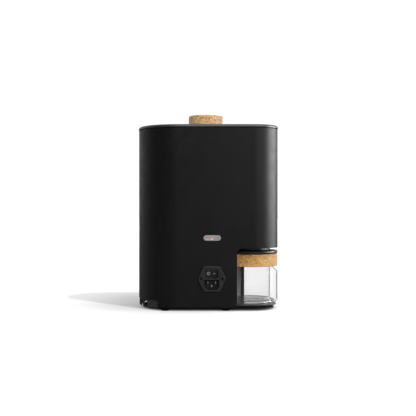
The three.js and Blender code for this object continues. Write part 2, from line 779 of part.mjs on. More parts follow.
function dischargeDuct() {
  const { z, radius, wall, bend } = DISCHARGE;
  const start = new THREE.Vector3(DOSER.x - HEAD.radius - GAP - 1.4, MID_Y, z);
  const turnStart = new THREE.Vector3(JAR.x + bend, MID_Y, z);
  const corner = new THREE.Vector3(JAR.x, MID_Y, z);
  const turnEnd = new THREE.Vector3(JAR.x, MID_Y, z - bend);
  const end = new THREE.Vector3(JAR.x, MID_Y, DECK.z0);
  const path = new THREE.CurvePath();
  path.add(new THREE.LineCurve3(start, turnStart));
  path.add(new THREE.QuadraticBezierCurve3(turnStart, corner, turnEnd));
  path.add(new THREE.LineCurve3(turnEnd, end));
  return piece('discharge_duct', 'aluminium', tube(path, radius, wall, 12));
}

// ---------------------------------------------------------------- blower, drawn about its own axis

function volute() {
  const { z0, z1, radius, wall, outletY } = BLOWER;
  const end = -radius - 8;
  const drum = rod(radius, z0, z1, 28);
  const spout = block(end, 0, outletY - 12.5, radius - 0.6, z0, z1);
  const inside = [
    rod(radius - wall, z0 + wall, z1 - wall, 28),
    block(end + wall, 0, outletY - 12.5 + wall, radius - 0.6 - wall, z0 + wall, z1 - wall),
  ];
  const middle = { x: end - 6, y: outletY - 0.5, z: (z0 + z1) / 2 };
  const mouth = placed(rod(AIR_DUCT.radius - AIR_DUCT.wall, 0, 20), { ...middle, turnY: Math.PI / 2 });
  const eye = rod(20, z0 - 5, z0 + 5);
  const shaftHole = rod(6, z1 - 5, z1 + 5, 12);
  const body = cut(join(drum, spout), ...inside, mouth, eye, shaftHole);
  return piece('blower_volute', 'black_plastic', body);
}

function impeller() {
  const { z0, z1 } = BLOWER;
  const backDisc = rod(32, z1 - 6, z1 - 4, 24);
  const hub = rod(7, z0 + 8, z1 - 4, 12);
  const blades = [];
  for (let i = 0; i < 9; i += 1) {
    const blade = placed(block(14, 31, -0.8, 0.8, z0 + 5, z1 - 5), { turnZ: 0.45 });
    blades.push(placed(blade, { turnZ: (2 * Math.PI * i) / 9 }));
  }
  const bore = rod(MOTOR.shaft + GAP, 0, 100, 12);
  return piece('blower_impeller', 'aluminium', cut(join(backDisc, hub, ...blades), bore));
}

function blowerGroup() {
  const { z0, z1 } = BLOWER;
  const group = new THREE.Group();
  group.position.set(BLOWER.x, MID_Y, 0);
  const stand = cut(
    ring(31, 35, TRAY.z1 + GAP, z0 - GAP, 24),
    block(-60, 60, -12, 12, TRAY.z1 + 3, z0 - 3),
    block(-12, 12, -60, 60, TRAY.z1 + 3, z0 - 3),
  ).intersect(block(-60, TRAY.end - BLOWER.x - 0.6, -60, 60, 0, 40));
  group.add(
    volute(),
    impeller(),
    piece('motor_shaft', 'steel', rod(MOTOR.shaft, z0 + 6, MOTOR.z1 + 4, 12)),
    piece('blower_motor', 'steel', turned([
      [MOTOR.shaft + GAP, z1 + GAP], [MOTOR.radius - 2, z1 + GAP], [MOTOR.radius, z1 + 4],
      [MOTOR.radius, MOTOR.z1 - 6], [12, MOTOR.z1 - 4], [12, MOTOR.z1], [MOTOR.shaft + GAP, MOTOR.z1],
    ], 24)),
    piece('blower_stand', 'rubber', stand),
  );
  return group;
}

function airDuct() {
  const mouthX = BLOWER.x - BLOWER.radius - 8 - GAP - 0.4;
  const path = new THREE.CubicBezierCurve3(
    new THREE.Vector3(mouthX, MID_Y + BLOWER.outletY - 0.5, (BLOWER.z0 + BLOWER.z1) / 2),
    new THREE.Vector3(mouthX - 26, MID_Y + BLOWER.outletY - 0.5, (BLOWER.z0 + BLOWER.z1) / 2),
    new THREE.Vector3(DOSER.x, MID_Y, 62),
    new THREE.Vector3(DOSER.x, MID_Y, HEATER.z0 - GAP),
  );
  return piece('air_duct', 'aluminium', tube(path, AIR_DUCT.radius, AIR_DUCT.wall, 12));
}

// ---------------------------------------------------------------- electronics and front controls

function controlBoard() {
  const y = SHELL.y0 + 12;
  const chips = [[-24, 180, 12], [4, 200, 9], [-18, 230, 8], [22, 168, 10]].map(([across, z, half]) => {
    const x = PANEL.x + across;
    return block(x - half, x + half, y + 1, y + 5, z - half, z + half);
  });
  const sheet = block(PANEL.x - 36, PANEL.x + 36, y, y + 1.6, 150, 300);
  return piece('control_board', 'board', join(sheet, ...chips));
}

function displayWindow() {
  const { width, height, depth, proud } = WINDOW;
  const outline = moved(roundedRectangle(width, height, height / 2 - 0.1, 6), PANEL.x, PANEL.windowZ);
  const glass = prismAlongY(outline, SHELL.y0 - proud, SHELL.y0 + depth);
  return piece('display_window', 'gloss_black', glass);
}

function controls() {
  const { x, buttonZ, buttonRadius, ringRadius } = PANEL;
  const onFront = (solid) => placed(solid, { x, y: SHELL.y0 - 0.6, z: buttonZ, turnX: -Math.PI / 2 });
  const lightRing = ring(buttonRadius + GAP, ringRadius, 0.2, 8, VISIBLE_STEPS);
  const button = turned([
    [0, 0], [buttonRadius - 0.8, 0], [buttonRadius, 0.8], [buttonRadius, 6],
    [4, 6], [4, 9.5], [0, 9.5],
  ]);
  return [
    controlBoard(),
    displayWindow(),
    piece('light_ring', 'light', onFront(lightRing)),
    piece('control_button', 'black_plastic', onFront(button)),
  ];
}

function powerElectronics() {
  const boardY = SHELL.y1 - 14;
  const board = block(18, 74, boardY, boardY + 1.6, 124, 210);
  const sink = block(24, 44, boardY - 4, boardY - GAP, 160, 200);
  const fins = [];
  for (let z = 162; z <= 197; z += 7) {
    fins.push(block(24, 44, boardY - 18, boardY - 3, z, z + 2));
  }
  const capacitor = piece('capacitor', 'steel', rod(8, 0, 26, 16));
  capacitor.rotation.x = Math.PI / 2;
  capacitor.position.set(60, boardY - GAP, 188);
  return [
    piece('power_board', 'board', board),
    piece('heat_sink', 'aluminium', join(sink, ...fins)),
    piece('relay', 'black_plastic', block(50, 70, boardY - 16, boardY - GAP, 132, 160)),
    capacitor,
  ];
}

// ---------------------------------------------------------------- assembly

const roaster = new THREE.Group();
roaster.add(
  outerShell(),
  topPlate(),
  rearBadge(),
  basePlate(),
  baseTray(),
  bayLiner(),
  midDeck(),
  intakeGrille(),
  ...feet(),
  ...baseScrews(),
  ...deckPosts(),
  inletGroup(),
  jarGroup(),
  outletNeck(),
  doserGroup(),
  roastGroup(),
  dischargeDuct(),
  blowerGroup(),
  airDuct(),
  ...controls(),
  ...powerElectronics(),
);

export default roaster;
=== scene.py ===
import json
import math

import bmesh
import bpy
from mathutils import Matrix, Vector, noise


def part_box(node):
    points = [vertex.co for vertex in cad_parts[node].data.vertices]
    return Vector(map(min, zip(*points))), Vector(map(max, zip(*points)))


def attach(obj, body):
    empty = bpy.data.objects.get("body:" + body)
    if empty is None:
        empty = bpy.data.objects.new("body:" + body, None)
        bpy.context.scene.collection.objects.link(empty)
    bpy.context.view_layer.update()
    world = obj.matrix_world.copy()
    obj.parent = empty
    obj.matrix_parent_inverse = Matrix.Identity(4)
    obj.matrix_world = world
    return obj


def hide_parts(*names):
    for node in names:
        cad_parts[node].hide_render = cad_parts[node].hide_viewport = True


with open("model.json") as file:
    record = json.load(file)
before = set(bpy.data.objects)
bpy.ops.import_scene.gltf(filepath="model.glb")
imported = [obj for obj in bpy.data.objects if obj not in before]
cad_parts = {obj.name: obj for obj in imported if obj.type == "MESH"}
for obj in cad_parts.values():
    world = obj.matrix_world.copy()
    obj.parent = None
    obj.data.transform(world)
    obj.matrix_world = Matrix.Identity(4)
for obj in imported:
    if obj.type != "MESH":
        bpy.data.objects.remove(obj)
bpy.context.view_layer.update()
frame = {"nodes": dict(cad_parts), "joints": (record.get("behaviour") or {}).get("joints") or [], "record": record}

MM = 0.001
QUARTER = 28            # facets in a quarter of the housing's outline
ROUND = 96              # facets round a turned piece
SHARP = math.radians(32)

# ------------------------------------------------------------------ sizes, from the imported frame

shell_low, shell_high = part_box("outer_shell")
lid_low, lid_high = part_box("top_plate")
base_low, base_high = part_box("base_plate")
tray_low, tray_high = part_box("base_tray")
jar_low, jar_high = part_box("jar_outer_glass")
inner_low, inner_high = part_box("jar_inner_glass")
collar_low, collar_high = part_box("cork_collar")
chaff_low, chaff_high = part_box("chaff_lid")
neck_low, neck_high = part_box("outlet_neck")
cap_low, cap_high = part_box("cork_cap")
cup_low, cup_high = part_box("doser_cup")
inlet_low, inlet_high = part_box("inlet_housing")
grille_low, grille_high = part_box("intake_grille")

REAR = shell_high.y
FRONT = shell_low.y
MID_Y = (REAR + FRONT) / 2
JAR_END_RADIUS = 46 * MM
INTAKE_END_RADIUS = 76 * MM
WALL = 2 * MM
JAR_AXIS = Vector(((jar_low.x + jar_high.x) / 2, (jar_low.y + jar_high.y) / 2, 0))
DOSER_AXIS = Vector(((cap_low.x + cap_high.x) / 2, (cap_low.y + cap_high.y) / 2, 0))
INLET = Vector(((inlet_low.x + inlet_high.x) / 2, REAR, (inlet_low.z + inlet_high.z) / 2))
BAY_REAR_EDGE = -51.8 * MM
BAY_FRONT_EDGE = -70.1 * MM
BAY_TOP = 113 * MM
BAY_CORNER = 10.8 * MM
VENT_EDGE = 91.2 * MM
VENT_TOP = 18.5 * MM
VENT_CORNER = 5 * MM
GRILLE_SLOT = 10.4 * MM
GAP = 0.3 * MM          # clearance between neighbouring pieces
FAR = 0.02              # how far a cutting block reaches past a face

# ------------------------------------------------------------------ outlines


def arc(cx, cy, radius, start, end, steps):
    points = []
    for i in range(steps + 1):
        angle = math.radians(start + (end - start) * i / steps)
        points.append((cx + radius * math.cos(angle), cy + radius * math.sin(angle)))
    return points


def footprint(inset, steps=QUARTER):
    """The housing's outline seen from above, drawn in from its own edge."""
    x0, x1 = shell_low.x + inset, shell_high.x - inset
    y0, y1 = FRONT + inset, REAR - inset
    small, large = JAR_END_RADIUS - inset, INTAKE_END_RADIUS - inset
    return (
        arc(x1 - large, y0 + large, large, -90, 0, steps)
        + arc(x1 - large, y1 - large, large, 0, 90, steps)
        + arc(x0 + small, y1 - small, small, 90, 180, steps)
        + arc(x0 + small, y0 + small, small, 180, 270, steps)
    )


def rounded(width, height, radius, cx=0.0, cy=0.0, steps=8):
    x, y = width / 2 - radius, height / 2 - radius
    return (
        arc(cx + x, cy - y, radius, -90, 0, steps)
        + arc(cx + x, cy + y, radius, 0, 90, steps)
        + arc(cx - x, cy + y, radius, 90, 180, steps)
        + arc(cx - x, cy - y, radius, 180, 270, steps)
    )


def circle(cx, cy, radius, steps=ROUND):
    return arc(cx, cy, radius, 0, 360, steps)[:-1]


def filleted(corners, steps=6):
    """A profile of (x, y, radius) corners with each corner rounded to its radius."""
    points = []
    count = len(corners)
    for i, (x, y, radius) in enumerate(corners):
        here = Vector((x, y))
        if radius <= 0:
            points.append((x, y))
            continue
        before = Vector(corners[i - 1][:2]) - here
        after = Vector(corners[(i + 1) % count][:2]) - here
        half = before.angle(after) / 2
        reach = min(radius / math.tan(half), before.length * 0.49, after.length * 0.49)
        start = here + before.normalized() * reach
        end = here + after.normalized() * reach
        for k in range(steps + 1):
            t = k / steps
            curve = start * (1 - t) ** 2 + here * 2 * t * (1 - t) + end * t ** 2
            points.append((curve.x, curve.y))
    return points


# ------------------------------------------------------------------ meshes


def new_object(name, bm):
    mesh = bpy.data.meshes.new(name)
    bmesh.ops.recalc_face_normals(bm, faces=bm.faces)
    bm.to_mesh(mesh)
    bm.free()
    obj = bpy.data.objects.new(name, mesh)
    bpy.context.scene.collection.objects.link(obj)
    return obj


def layered(name, levels):
    """A closed body through a stack of (outline, z) levels."""
    bm = bmesh.new()
    rings = [[bm.verts.new((x, y, z)) for x, y in outline] for outline, z in levels]
    for low, high in zip(rings, rings[1:]):
        for i, vert in enumerate(low):
            after = (i + 1) % len(low)
            bm.faces.new((vert, low[after], high[after], high[i]))
    bm.faces.new(list(reversed(rings[0])))
    bm.faces.new(rings[-1])
    bmesh.ops.remove_doubles(bm, verts=bm.verts, dist=1e-7)
    return new_object(name, bm)


def prism(name, outline, z0, z1):
    return layered(name, [(outline, z0), (outline, z1)])


def turn_to_y(obj):
    """Turns a piece drawn with its outline in X and Y so that the outline lies in X and Z, facing +Y."""
    obj.data.transform(Matrix(((1, 0, 0, 0), (0, 0, 1, 0), (0, 1, 0, 0), (0, 0, 0, 1))))
    obj.data.flip_normals()
    return obj


def prism_y(name, outline, y0, y1):
    return turn_to_y(prism(name, outline, y0, y1))


def layered_y(name, levels):
    return turn_to_y(layered(name, levels))


def turned(name, profile, centre=(0, 0, 0), steps=ROUND):
    """A body turned about Z from a closed (radius, z) profile. Points on the axis are shared."""
    bm = bmesh.new()
    columns = []
    for k in range(steps):
        angle = 2 * math.pi * k / steps
        c, s = math.cos(angle), math.sin(angle)
        columns.append([(centre[0] + r * c, centre[1] + r * s, centre[2] + z) for r, z in profile])
    closed = profile[0][0] > 0
    verts = [[bm.verts.new(p) for p in column] for column in columns]
    last = len(profile) if closed else len(profile) - 1
    for k in range(steps):
        here, there = verts[k], verts[(k + 1) % steps]
        for i in range(last):
            j = (i + 1) % len(profile)
            bm.faces.new((here[i], there[i], there[j], here[j]))
    bmesh.ops.remove_doubles(bm, verts=bm.verts, dist=1e-7)
    bmesh.ops.dissolve_degenerate(bm, edges=bm.edges, dist=1e-8)
    return new_object(name, bm)


def block(name, low, high):
    outline = [(low[0], low[1]), (high[0], low[1]), (high[0], high[1]), (low[0], high[1])]
    return prism(name, outline, low[2], high[2])


def settle(obj):
    """Applies an object's modifiers to its mesh."""
    graph = bpy.context.evaluated_depsgraph_get()
    mesh = bpy.data.meshes.new_from_object(obj.evaluated_get(graph))
    obj.modifiers.clear()
    obj.data = mesh
    return obj


def carve(obj, *tools, operation="DIFFERENCE"):
    for tool in tools:
        modifier = obj.modifiers.new("cut", "BOOLEAN")
        modifier.operation = operation
        modifier.solver = "EXACT"
        modifier.object = tool
        settle(obj)
        bpy.data.objects.remove(tool)
    return obj


def soften(obj, width, segments=3, angle=SHARP):
    """Rounds an object's sharp edges by a small amount."""
    modifier = obj.modifiers.new("edge", "BEVEL")
    modifier.width = width
    modifier.segments = segments
    modifier.limit_method = "ANGLE"
    modifier.angle_limit = angle
    modifier.harden_normals = True
    obj.data.shade_smooth()
    return settle(obj)


def present(obj, material, body, *nodes, slot=None):
    """Gives a piece its material and shading, its body and the CAD nodes that it stands for."""
    obj.data.materials.clear()
    obj.data.materials.append(material)
    obj.data.shade_smooth()
    if not any(edge.use_edge_sharp for edge in obj.data.edges):
        obj.data.set_sharp_from_angle(angle=SHARP)
    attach(obj, body)
    if nodes:
        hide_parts(*nodes)
    return obj


# ------------------------------------------------------------------ materials


def set_stops(color_ramp, stops):
    """Gives a colour ramp these (position, colour) stops."""
    elements = color_ramp.elements
    while len(elements) < len(stops):
        elements.new(0.5)
    for element, (position, colour) in zip(elements, stops):
        element.position = position
        element.color = (*colour, 1)


def calculate(tree, operation, first, second):
    """A Math node's result from two values, each a socket or a number."""
    node = tree.nodes.new("ShaderNodeMath")
    node.operation = operation
    for socket, value in zip(node.inputs, (first, second)):
        if isinstance(value, bpy.types.NodeSocket):
            tree.links.new(value, socket)
        else:
            socket.default_value = value
    return node.outputs[0]


class Nodes:
    """A short way to build a node tree: each call adds one node and returns it."""

    def __init__(self, name):
        self.material = bpy.data.materials.new(name)
        self.material.use_nodes = True
        self.tree = self.material.node_tree
        self.shader = self.tree.nodes["Principled BSDF"]
        self.coordinates = self.add("ShaderNodeTexCoord").outputs["Object"]

    def add(self, kind, **values):
        node = self.tree.nodes.new(kind)
        for key, value in values.items():
            setattr(node, key, value)
        return node

    def link(self, source, target):
        self.tree.links.new(source, target)

    def noise(self, scale, detail=3.0, roughness=0.55, coordinates=None):
        node = self.add("ShaderNodeTexNoise")
        node.inputs["Scale"].default_value = scale
        node.inputs["Detail"].default_value = detail
        node.inputs["Roughness"].default_value = roughness
        self.link(coordinates or self.coordinates, node.inputs["Vector"])
        return node.outputs["Fac"]

    def voronoi(self, scale, feature="F1", coordinates=None):
        node = self.add("ShaderNodeTexVoronoi", feature=feature)
        node.inputs["Scale"].default_value = scale
        self.link(coordinates or self.coordinates, node.inputs["Vector"])
        return node

    def stretched(self, x, y, z):
        node = self.add("ShaderNodeMapping")
        node.inputs["Scale"].default_value = (x, y, z)
        self.link(self.coordinates, node.inputs["Vector"])
        return node.outputs["Vector"]

    def ramp(self, factor, stops):
        node = self.add("ShaderNodeValToRGB")
        set_stops(node.color_ramp, stops)
        self.link(factor, node.inputs["Fac"])
        return node.outputs["Color"]

    def span(self, factor, low, high, from_low=0.3, from_high=0.7):
        node = self.add("ShaderNodeMapRange")
        node.inputs["From Min"].default_value = from_low
        node.inputs["From Max"].default_value = from_high
        node.inputs["To Min"].default_value = low
        node.inputs["To Max"].default_value = high
        self.link(factor, node.inputs["Value"])
        return node.outputs["Result"]

    def mix(self, factor, first, second, blend="MIX"):
        node = self.add("ShaderNodeMix", data_type="RGBA", blend_type=blend)
        targets = [node.inputs[0], node.inputs[6], node.inputs[7]]
        for socket, value in zip(targets, (factor, first, second)):
            if isinstance(value, bpy.types.NodeSocket):
                self.link(value, socket)
            elif isinstance(value, tuple):
                socket.default_value = (*value, 1)
            else:
                socket.default_value = value
        return node.outputs[2]

    def bump(self, height, strength, distance, under=None):
        node = self.add("ShaderNodeBump")
        node.inputs["Strength"].default_value = strength
        node.inputs["Distance"].default_value = distance
        self.link(height, node.inputs["Height"])
        if under is not None:
            self.link(under, node.inputs["Normal"])
        return node.outputs["Normal"]

    def set(self, **values):
        for key, value in values.items():
            socket = self.shader.inputs[key.replace("_", " ")]
            if isinstance(value, bpy.types.NodeSocket):
                self.link(value, socket)
            elif isinstance(value, tuple) and len(value) == 3:
                socket.default_value = (*value, 1)
            else:
                socket.default_value = value
        return self.material


def tinted(colour, amount):
    return tuple(max(0.0, c * amount) for c in colour)


def powder_coat(name, colour, rough=0.5, specular=0.3):
    """Matte coat: a fine pebbled skin with faint cloudiness in its gloss."""
    n = Nodes(name)
    cloud = n.noise(28, 4)
    grain = n.noise(1900, 2, 0.6)
    n.set(
        Base_Color=n.ramp(cloud, [(0.25, tinted(colour, 0.86)), (0.75, tinted(colour, 1.16))]),
        Roughness=n.span(n.noise(60, 5), rough - 0.05, rough + 0.06),
        Normal=n.bump(grain, 0.35, 0.00012),
    )
    return n.set(Specular_IOR_Level=specular)


def moulded(name, colour, rough=0.42, specular=0.4, grain_scale=1300, strength=0.22):
    """Moulded plastic with a spark-eroded grain."""
    n = Nodes(name)
    cells = n.voronoi(grain_scale).outputs["Distance"]
    n.set(
        Base_Color=n.ramp(n.noise(45, 4), [(0.3, tinted(colour, 0.88)), (0.7, tinted(colour, 1.14))]),
        Roughness=n.span(n.noise(90, 5), rough - 0.06, rough + 0.07),
        Normal=n.bump(cells, strength, 0.00008),
    )
    return n.set(Specular_IOR_Level=specular)


def cork_material(name, light, dark):
    """Pressed cork: packed granules of mixed browns with dark bark specks and small pits."""
    n = Nodes(name)
    warp = n.add("ShaderNodeVectorMath", operation="MULTIPLY_ADD")
    wobble = n.add("ShaderNodeTexNoise")
    wobble.inputs["Scale"].default_value = 420
    n.link(n.coordinates, wobble.inputs["Vector"])
    n.link(wobble.outputs["Color"], warp.inputs[0])
    warp.inputs[1].default_value = (0.0012, 0.0012, 0.0012)
    n.link(n.coordinates, warp.inputs[2])
    place = warp.outputs["Vector"]
    granules = n.voronoi(560, coordinates=place)
    edges = n.voronoi(560, "DISTANCE_TO_EDGE", coordinates=place)
    shade = n.add("ShaderNodeSeparateColor")
    n.link(granules.outputs["Color"], shade.inputs["Color"])
    middle = tuple((a + b) / 2 for a, b in zip(light, dark))
    grains = n.ramp(shade.outputs["Red"], [
        (0.0, tinted(dark, 0.8)), (0.22, middle), (0.6, tinted(light, 0.94)),
        (0.85, light), (1.0, tinted(light, 1.5)),
    ])
    mottled = n.mix(n.span(n.noise(1500, 4), 0.0, 0.3), grains, tinted(middle, 0.9))
    seam = n.span(edges.outputs["Distance"], 0.5, 0.0, 0.0, 0.09)
    jointed = n.mix(seam, mottled, tinted(dark, 0.9))
    bark = n.voronoi(230, coordinates=place)
    pick = n.add("ShaderNodeSeparateColor")
    n.link(bark.outputs["Color"], pick.inputs["Color"])
    inside = n.span(bark.outputs["Distance"], 1.0, 0.0, 0.16, 0.34)
    picked = n.span(pick.outputs["Green"], 0.0, 1.0, 0.8, 0.88)
    coloured = n.mix(calculate(n.tree, "MULTIPLY", inside, picked), jointed, tinted(dark, 0.5))
    height = n.bump(edges.outputs["Distance"], 0.35, 0.0002)
    return n.set(
        Base_Color=coloured,
        Roughness=n.span(n.noise(700, 3), 0.62, 0.82),
        Normal=n.bump(n.noise(2300, 3), 0.4, 0.00015, under=height),
        Specular_IOR_Level=0.55,
        Sheen_Weight=0.7,
        Sheen_Roughness=0.4,
    )


def glass_material(name, tint):
    """Clear thin glass: it hardly bends the view behind it, and darkens where a wall is seen edge-on."""
    n = Nodes(name)
    n.set(
        Base_Color=n.ramp(n.noise(20, 2), [(0.3, tinted(tint, 0.995)), (0.7, tint)]),
        Roughness=n.span(n.noise(300, 4), 0.0, 0.01),
        Normal=n.bump(n.noise(25, 2), 0.01, 0.00002),
    )
    depth = n.add("ShaderNodeVolumeAbsorption")
    depth.inputs["Color"].default_value = (0.05, 0.06, 0.06, 1)
    depth.inputs["Density"].default_value = 2
    n.link(depth.outputs["Volume"], n.tree.nodes["Material Output"].inputs["Volume"])
    return n.set(Transmission_Weight=1.0, IOR=1.02, Coat_Weight=0.28, Coat_IOR=1.4, Coat_Roughness=0.01)


def brushed(name, colour, rough=0.32, direction=(1, 1, 60), metallic=1.0):
    """Metal with fine drawn lines."""
    n = Nodes(name)
    lines = n.noise(90, 5, 0.7, coordinates=n.stretched(*direction))
    n.set(
        Base_Color=n.ramp(lines, [(0.3, tinted(colour, 0.86)), (0.7, tinted(colour, 1.1))]),
        Roughness=n.span(lines, rough - 0.07, rough + 0.1),
        Normal=n.bump(lines, 0.15, 0.00006),
    )
    return n.set(Metallic=metallic)


def rubber_material(name, colour):
    n = Nodes(name)
    n.set(
        Base_Color=n.ramp(n.noise(160, 4), [(0.3, tinted(colour, 0.8)), (0.7, tinted(colour, 1.3))]),
        Roughness=n.span(n.noise(260, 4), 0.68, 0.86),
        Normal=n.bump(n.noise(1400, 3), 0.3, 0.0001),
    )
    return n.set(Specular_IOR_Level=0.3)


def gloss(name, colour, rough=0.08):
    n = Nodes(name)
    n.set(
        Base_Color=n.ramp(n.noise(40, 2), [(0.3, tinted(colour, 0.9)), (0.7, tinted(colour, 1.1))]),
        Roughness=n.span(n.noise(500, 4), rough - 0.03, rough + 0.05),
        Normal=n.bump(n.noise(60, 2), 0.04, 0.0002),
    )
    return n.set(Specular_IOR_Level=0.5)


def board_material(name):
    """Solder mask over a pattern of copper tracks."""
    n = Nodes(name)
    tracks = n.add("ShaderNodeTexBrick")
    tracks.inputs["Scale"].default_value = 140
    tracks.inputs["Mortar Size"].default_value = 0.04
    n.link(n.stretched(1, 1, 1), tracks.inputs["Vector"])
    tracks.inputs["Color1"].default_value = (0.018, 0.10, 0.05, 1)
    tracks.inputs["Color2"].default_value = (0.012, 0.075, 0.04, 1)
    tracks.inputs["Mortar"].default_value = (0.05, 0.20, 0.10, 1)
    return n.set(
        Base_Color=tracks.outputs["Color"],
        Roughness=n.span(n.noise(200, 4), 0.35, 0.5),
        Normal=n.bump(tracks.outputs["Fac"], 0.2, 0.0001),
    )


SHELL_COAT = powder_coat("shell_coat", (0.003, 0.003, 0.003), rough=0.43, specular=0.55)
LID_COAT = powder_coat("lid_coat", (0.022, 0.0245, 0.0225), rough=0.32, specular=1.0)
BLACK_PLASTIC = moulded("black_plastic", (0.02, 0.02, 0.02), specular=0.55)
BAY_PLASTIC = moulded("bay_plastic", (0.03, 0.03, 0.03), rough=0.5)
# Light grey standing for the bay liner's black plastic as if lit from the side: painted light.
BAY_PAINTED_LIGHT = moulded("bay_liner_painted_light", (0.27, 0.27, 0.27), rough=0.5)
LID_PLASTIC = moulded("chaff_lid_plastic", (0.012, 0.012, 0.012), rough=0.34, specular=1.0, strength=0.08)
INLET_PLASTIC = moulded("inlet_plastic", (0.02, 0.02, 0.02), rough=0.42, specular=0.5, strength=0.12)
ROCKER_PLASTIC = moulded("rocker_plastic", (0.012, 0.012, 0.012), rough=0.35, specular=0.5, strength=0.05)
WHITE_PRINT = moulded("white_print", (0.33, 0.335, 0.335), rough=0.5, strength=0.1)
CORK = cork_material("cork", (0.95, 0.56, 0.195), (0.58, 0.22, 0.028))
CAP_CORK = cork_material("cap_cork", (0.87, 0.555, 0.275), (0.50, 0.225, 0.07))
GLASS = glass_material("jar_glass", (0.951, 0.952, 0.952))
INNER_GLASS = glass_material("inner_jar_glass", (0.952, 0.952, 0.952))
RUBBER = rubber_material("rubber", (0.008, 0.008, 0.008))
# Near-black sheet round the inlet's flange: a painted shadow of the flange.
INLET_SHADOW_PAINT = rubber_material("inlet_painted_shadow", (0.002, 0.002, 0.002))
STEEL = brushed("steel", (0.45, 0.46, 0.47))
DARK_STEEL = brushed("dark_steel", (0.05, 0.05, 0.05), rough=0.4)
ALUMINIUM = brushed("aluminium", (0.56, 0.57, 0.58), rough=0.38)
PIN_METAL = brushed("pin_metal", (0.42, 0.42, 0.41), rough=0.4, direction=(1, 40, 1), metallic=0.35)
HEATER_WIRE = brushed("heater_wire", (0.15, 0.13, 0.12), rough=0.5)
BADGE = moulded("badge_plate", (0.29, 0.28, 0.27), rough=0.45, specular=0.4, strength=0.12)
ROSE_PRINT = moulded("rose_print", (0.44, 0.235, 0.235), rough=0.5, strength=0.05)
PALE_PRINT = moulded("pale_print", (0.42, 0.47, 0.42), rough=0.5, strength=0.05)
GLOSS_BLACK = gloss("gloss_black", (0.004, 0.004, 0.005))
DIFFUSER = moulded("diffuser", (0.62, 0.61, 0.58), rough=0.45, strength=0.05)
BOARD = board_material("board")
MICA = moulded("mica", (0.48, 0.41, 0.29), rough=0.6, grain_scale=500)

SLOT_MATERIALS = {
    "black_coat": SHELL_COAT,
    "black_plastic": BLACK_PLASTIC,
    "gloss_black": GLOSS_BLACK,
    "cork": CORK,
    "glass": GLASS,
    "rubber": RUBBER,
    "steel": STEEL,
    "dark_steel": DARK_STEEL,
    "aluminium": ALUMINIUM,
    "heater_wire": HEATER_WIRE,
    "plated_brass": PIN_METAL,
    "badge": BADGE,
    "board": BOARD,
    "mica": MICA,
    "light": DIFFUSER,
}

# ------------------------------------------------------------------ housing


def bay_cutter(edge, y0, y1):
    far = shell_low.x - 0.1
    outline = [(far, -0.01), (edge, -0.01)]
    outline += arc(edge - BAY_CORNER, BAY_TOP - BAY_CORNER, BAY_CORNER, 0, 90, 12)
    outline += [(far, BAY_TOP)]
    return prism_y("bay_cutter", outline, y0, y1)


def vent_cutter(margin):
    far = shell_high.x + 0.1
    edge, top = VENT_EDGE + margin, VENT_TOP - margin
    outline = [(edge, -0.01), (far, -0.01), (far, top)]
    outline += arc(edge + VENT_CORNER, top - VENT_CORNER, VENT_CORNER, 90, 180, 10)
    return prism_y("vent_cutter", outline, FRONT - FAR, REAR + FAR)


def make_shell():
    shell = prism("shell", footprint(0), shell_low.z, shell_high.z)
    window_low, window_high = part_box("display_window")
    ring_low, ring_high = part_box("light_ring")
    window = rounded(
        window_high.x - window_low.x + 2 * GAP, window_high.z - window_low.z + 2 * GAP, 6.2 * MM,
        (window_low.x + window_high.x) / 2, (window_low.z + window_high.z) / 2,
    )
    ring = circle(
        (ring_low.x + ring_high.x) / 2, (ring_low.z + ring_high.z) / 2, (ring_high.x - ring_low.x) / 2 + GAP
    )
    inlet_hole = rounded(30 * MM, 44.4 * MM, 2 * MM, INLET.x, INLET.z)
    carve(
        shell,
        prism("shell_inside", footprint(WALL), -0.01, 0.4),
        bay_cutter(BAY_REAR_EDGE, MID_Y, REAR + FAR),
        bay_cutter(BAY_FRONT_EDGE, FRONT - FAR, MID_Y + 1e-4),
        vent_cutter(0),
        prism_y("window_hole", window, FRONT - FAR, FRONT + FAR),
        prism_y("ring_hole", ring, FRONT - FAR, FRONT + FAR),
        prism_y("inlet_hole", inlet_hole, REAR - FAR, REAR + FAR),
    )
    soften(shell, 0.45 * MM)
    return present(shell, SHELL_COAT, "housing", "outer_shell", slot="black_coat")


def make_lid():
    proud = shell_low.x - lid_low.x
    rim = 4.5 * MM
    low = lid_low.z + 0.4 * MM
    levels = [(footprint(0.4 * MM - proud), low), (footprint(-proud), low + 0.4 * MM)]
    for step in range(9):
        angle = math.radians(90 * step / 8)
        inset = rim * (1 - math.cos(angle)) - proud
        levels.append((footprint(inset), lid_high.z - rim + rim * math.sin(angle)))
    lid = layered("lid", levels)
    hole = circle(DOSER_AXIS.x, DOSER_AXIS.y, 30 * MM)
    carve(
        lid,
        prism("lid_inside", footprint(WALL), lid_low.z - 0.01, lid_high.z - 3 * MM),
        prism("lid_hole", hole, lid_low.z - 0.01, lid_high.z + 0.01),
    )
    return present(lid, LID_COAT, "housing", "top_plate", slot="black_coat")


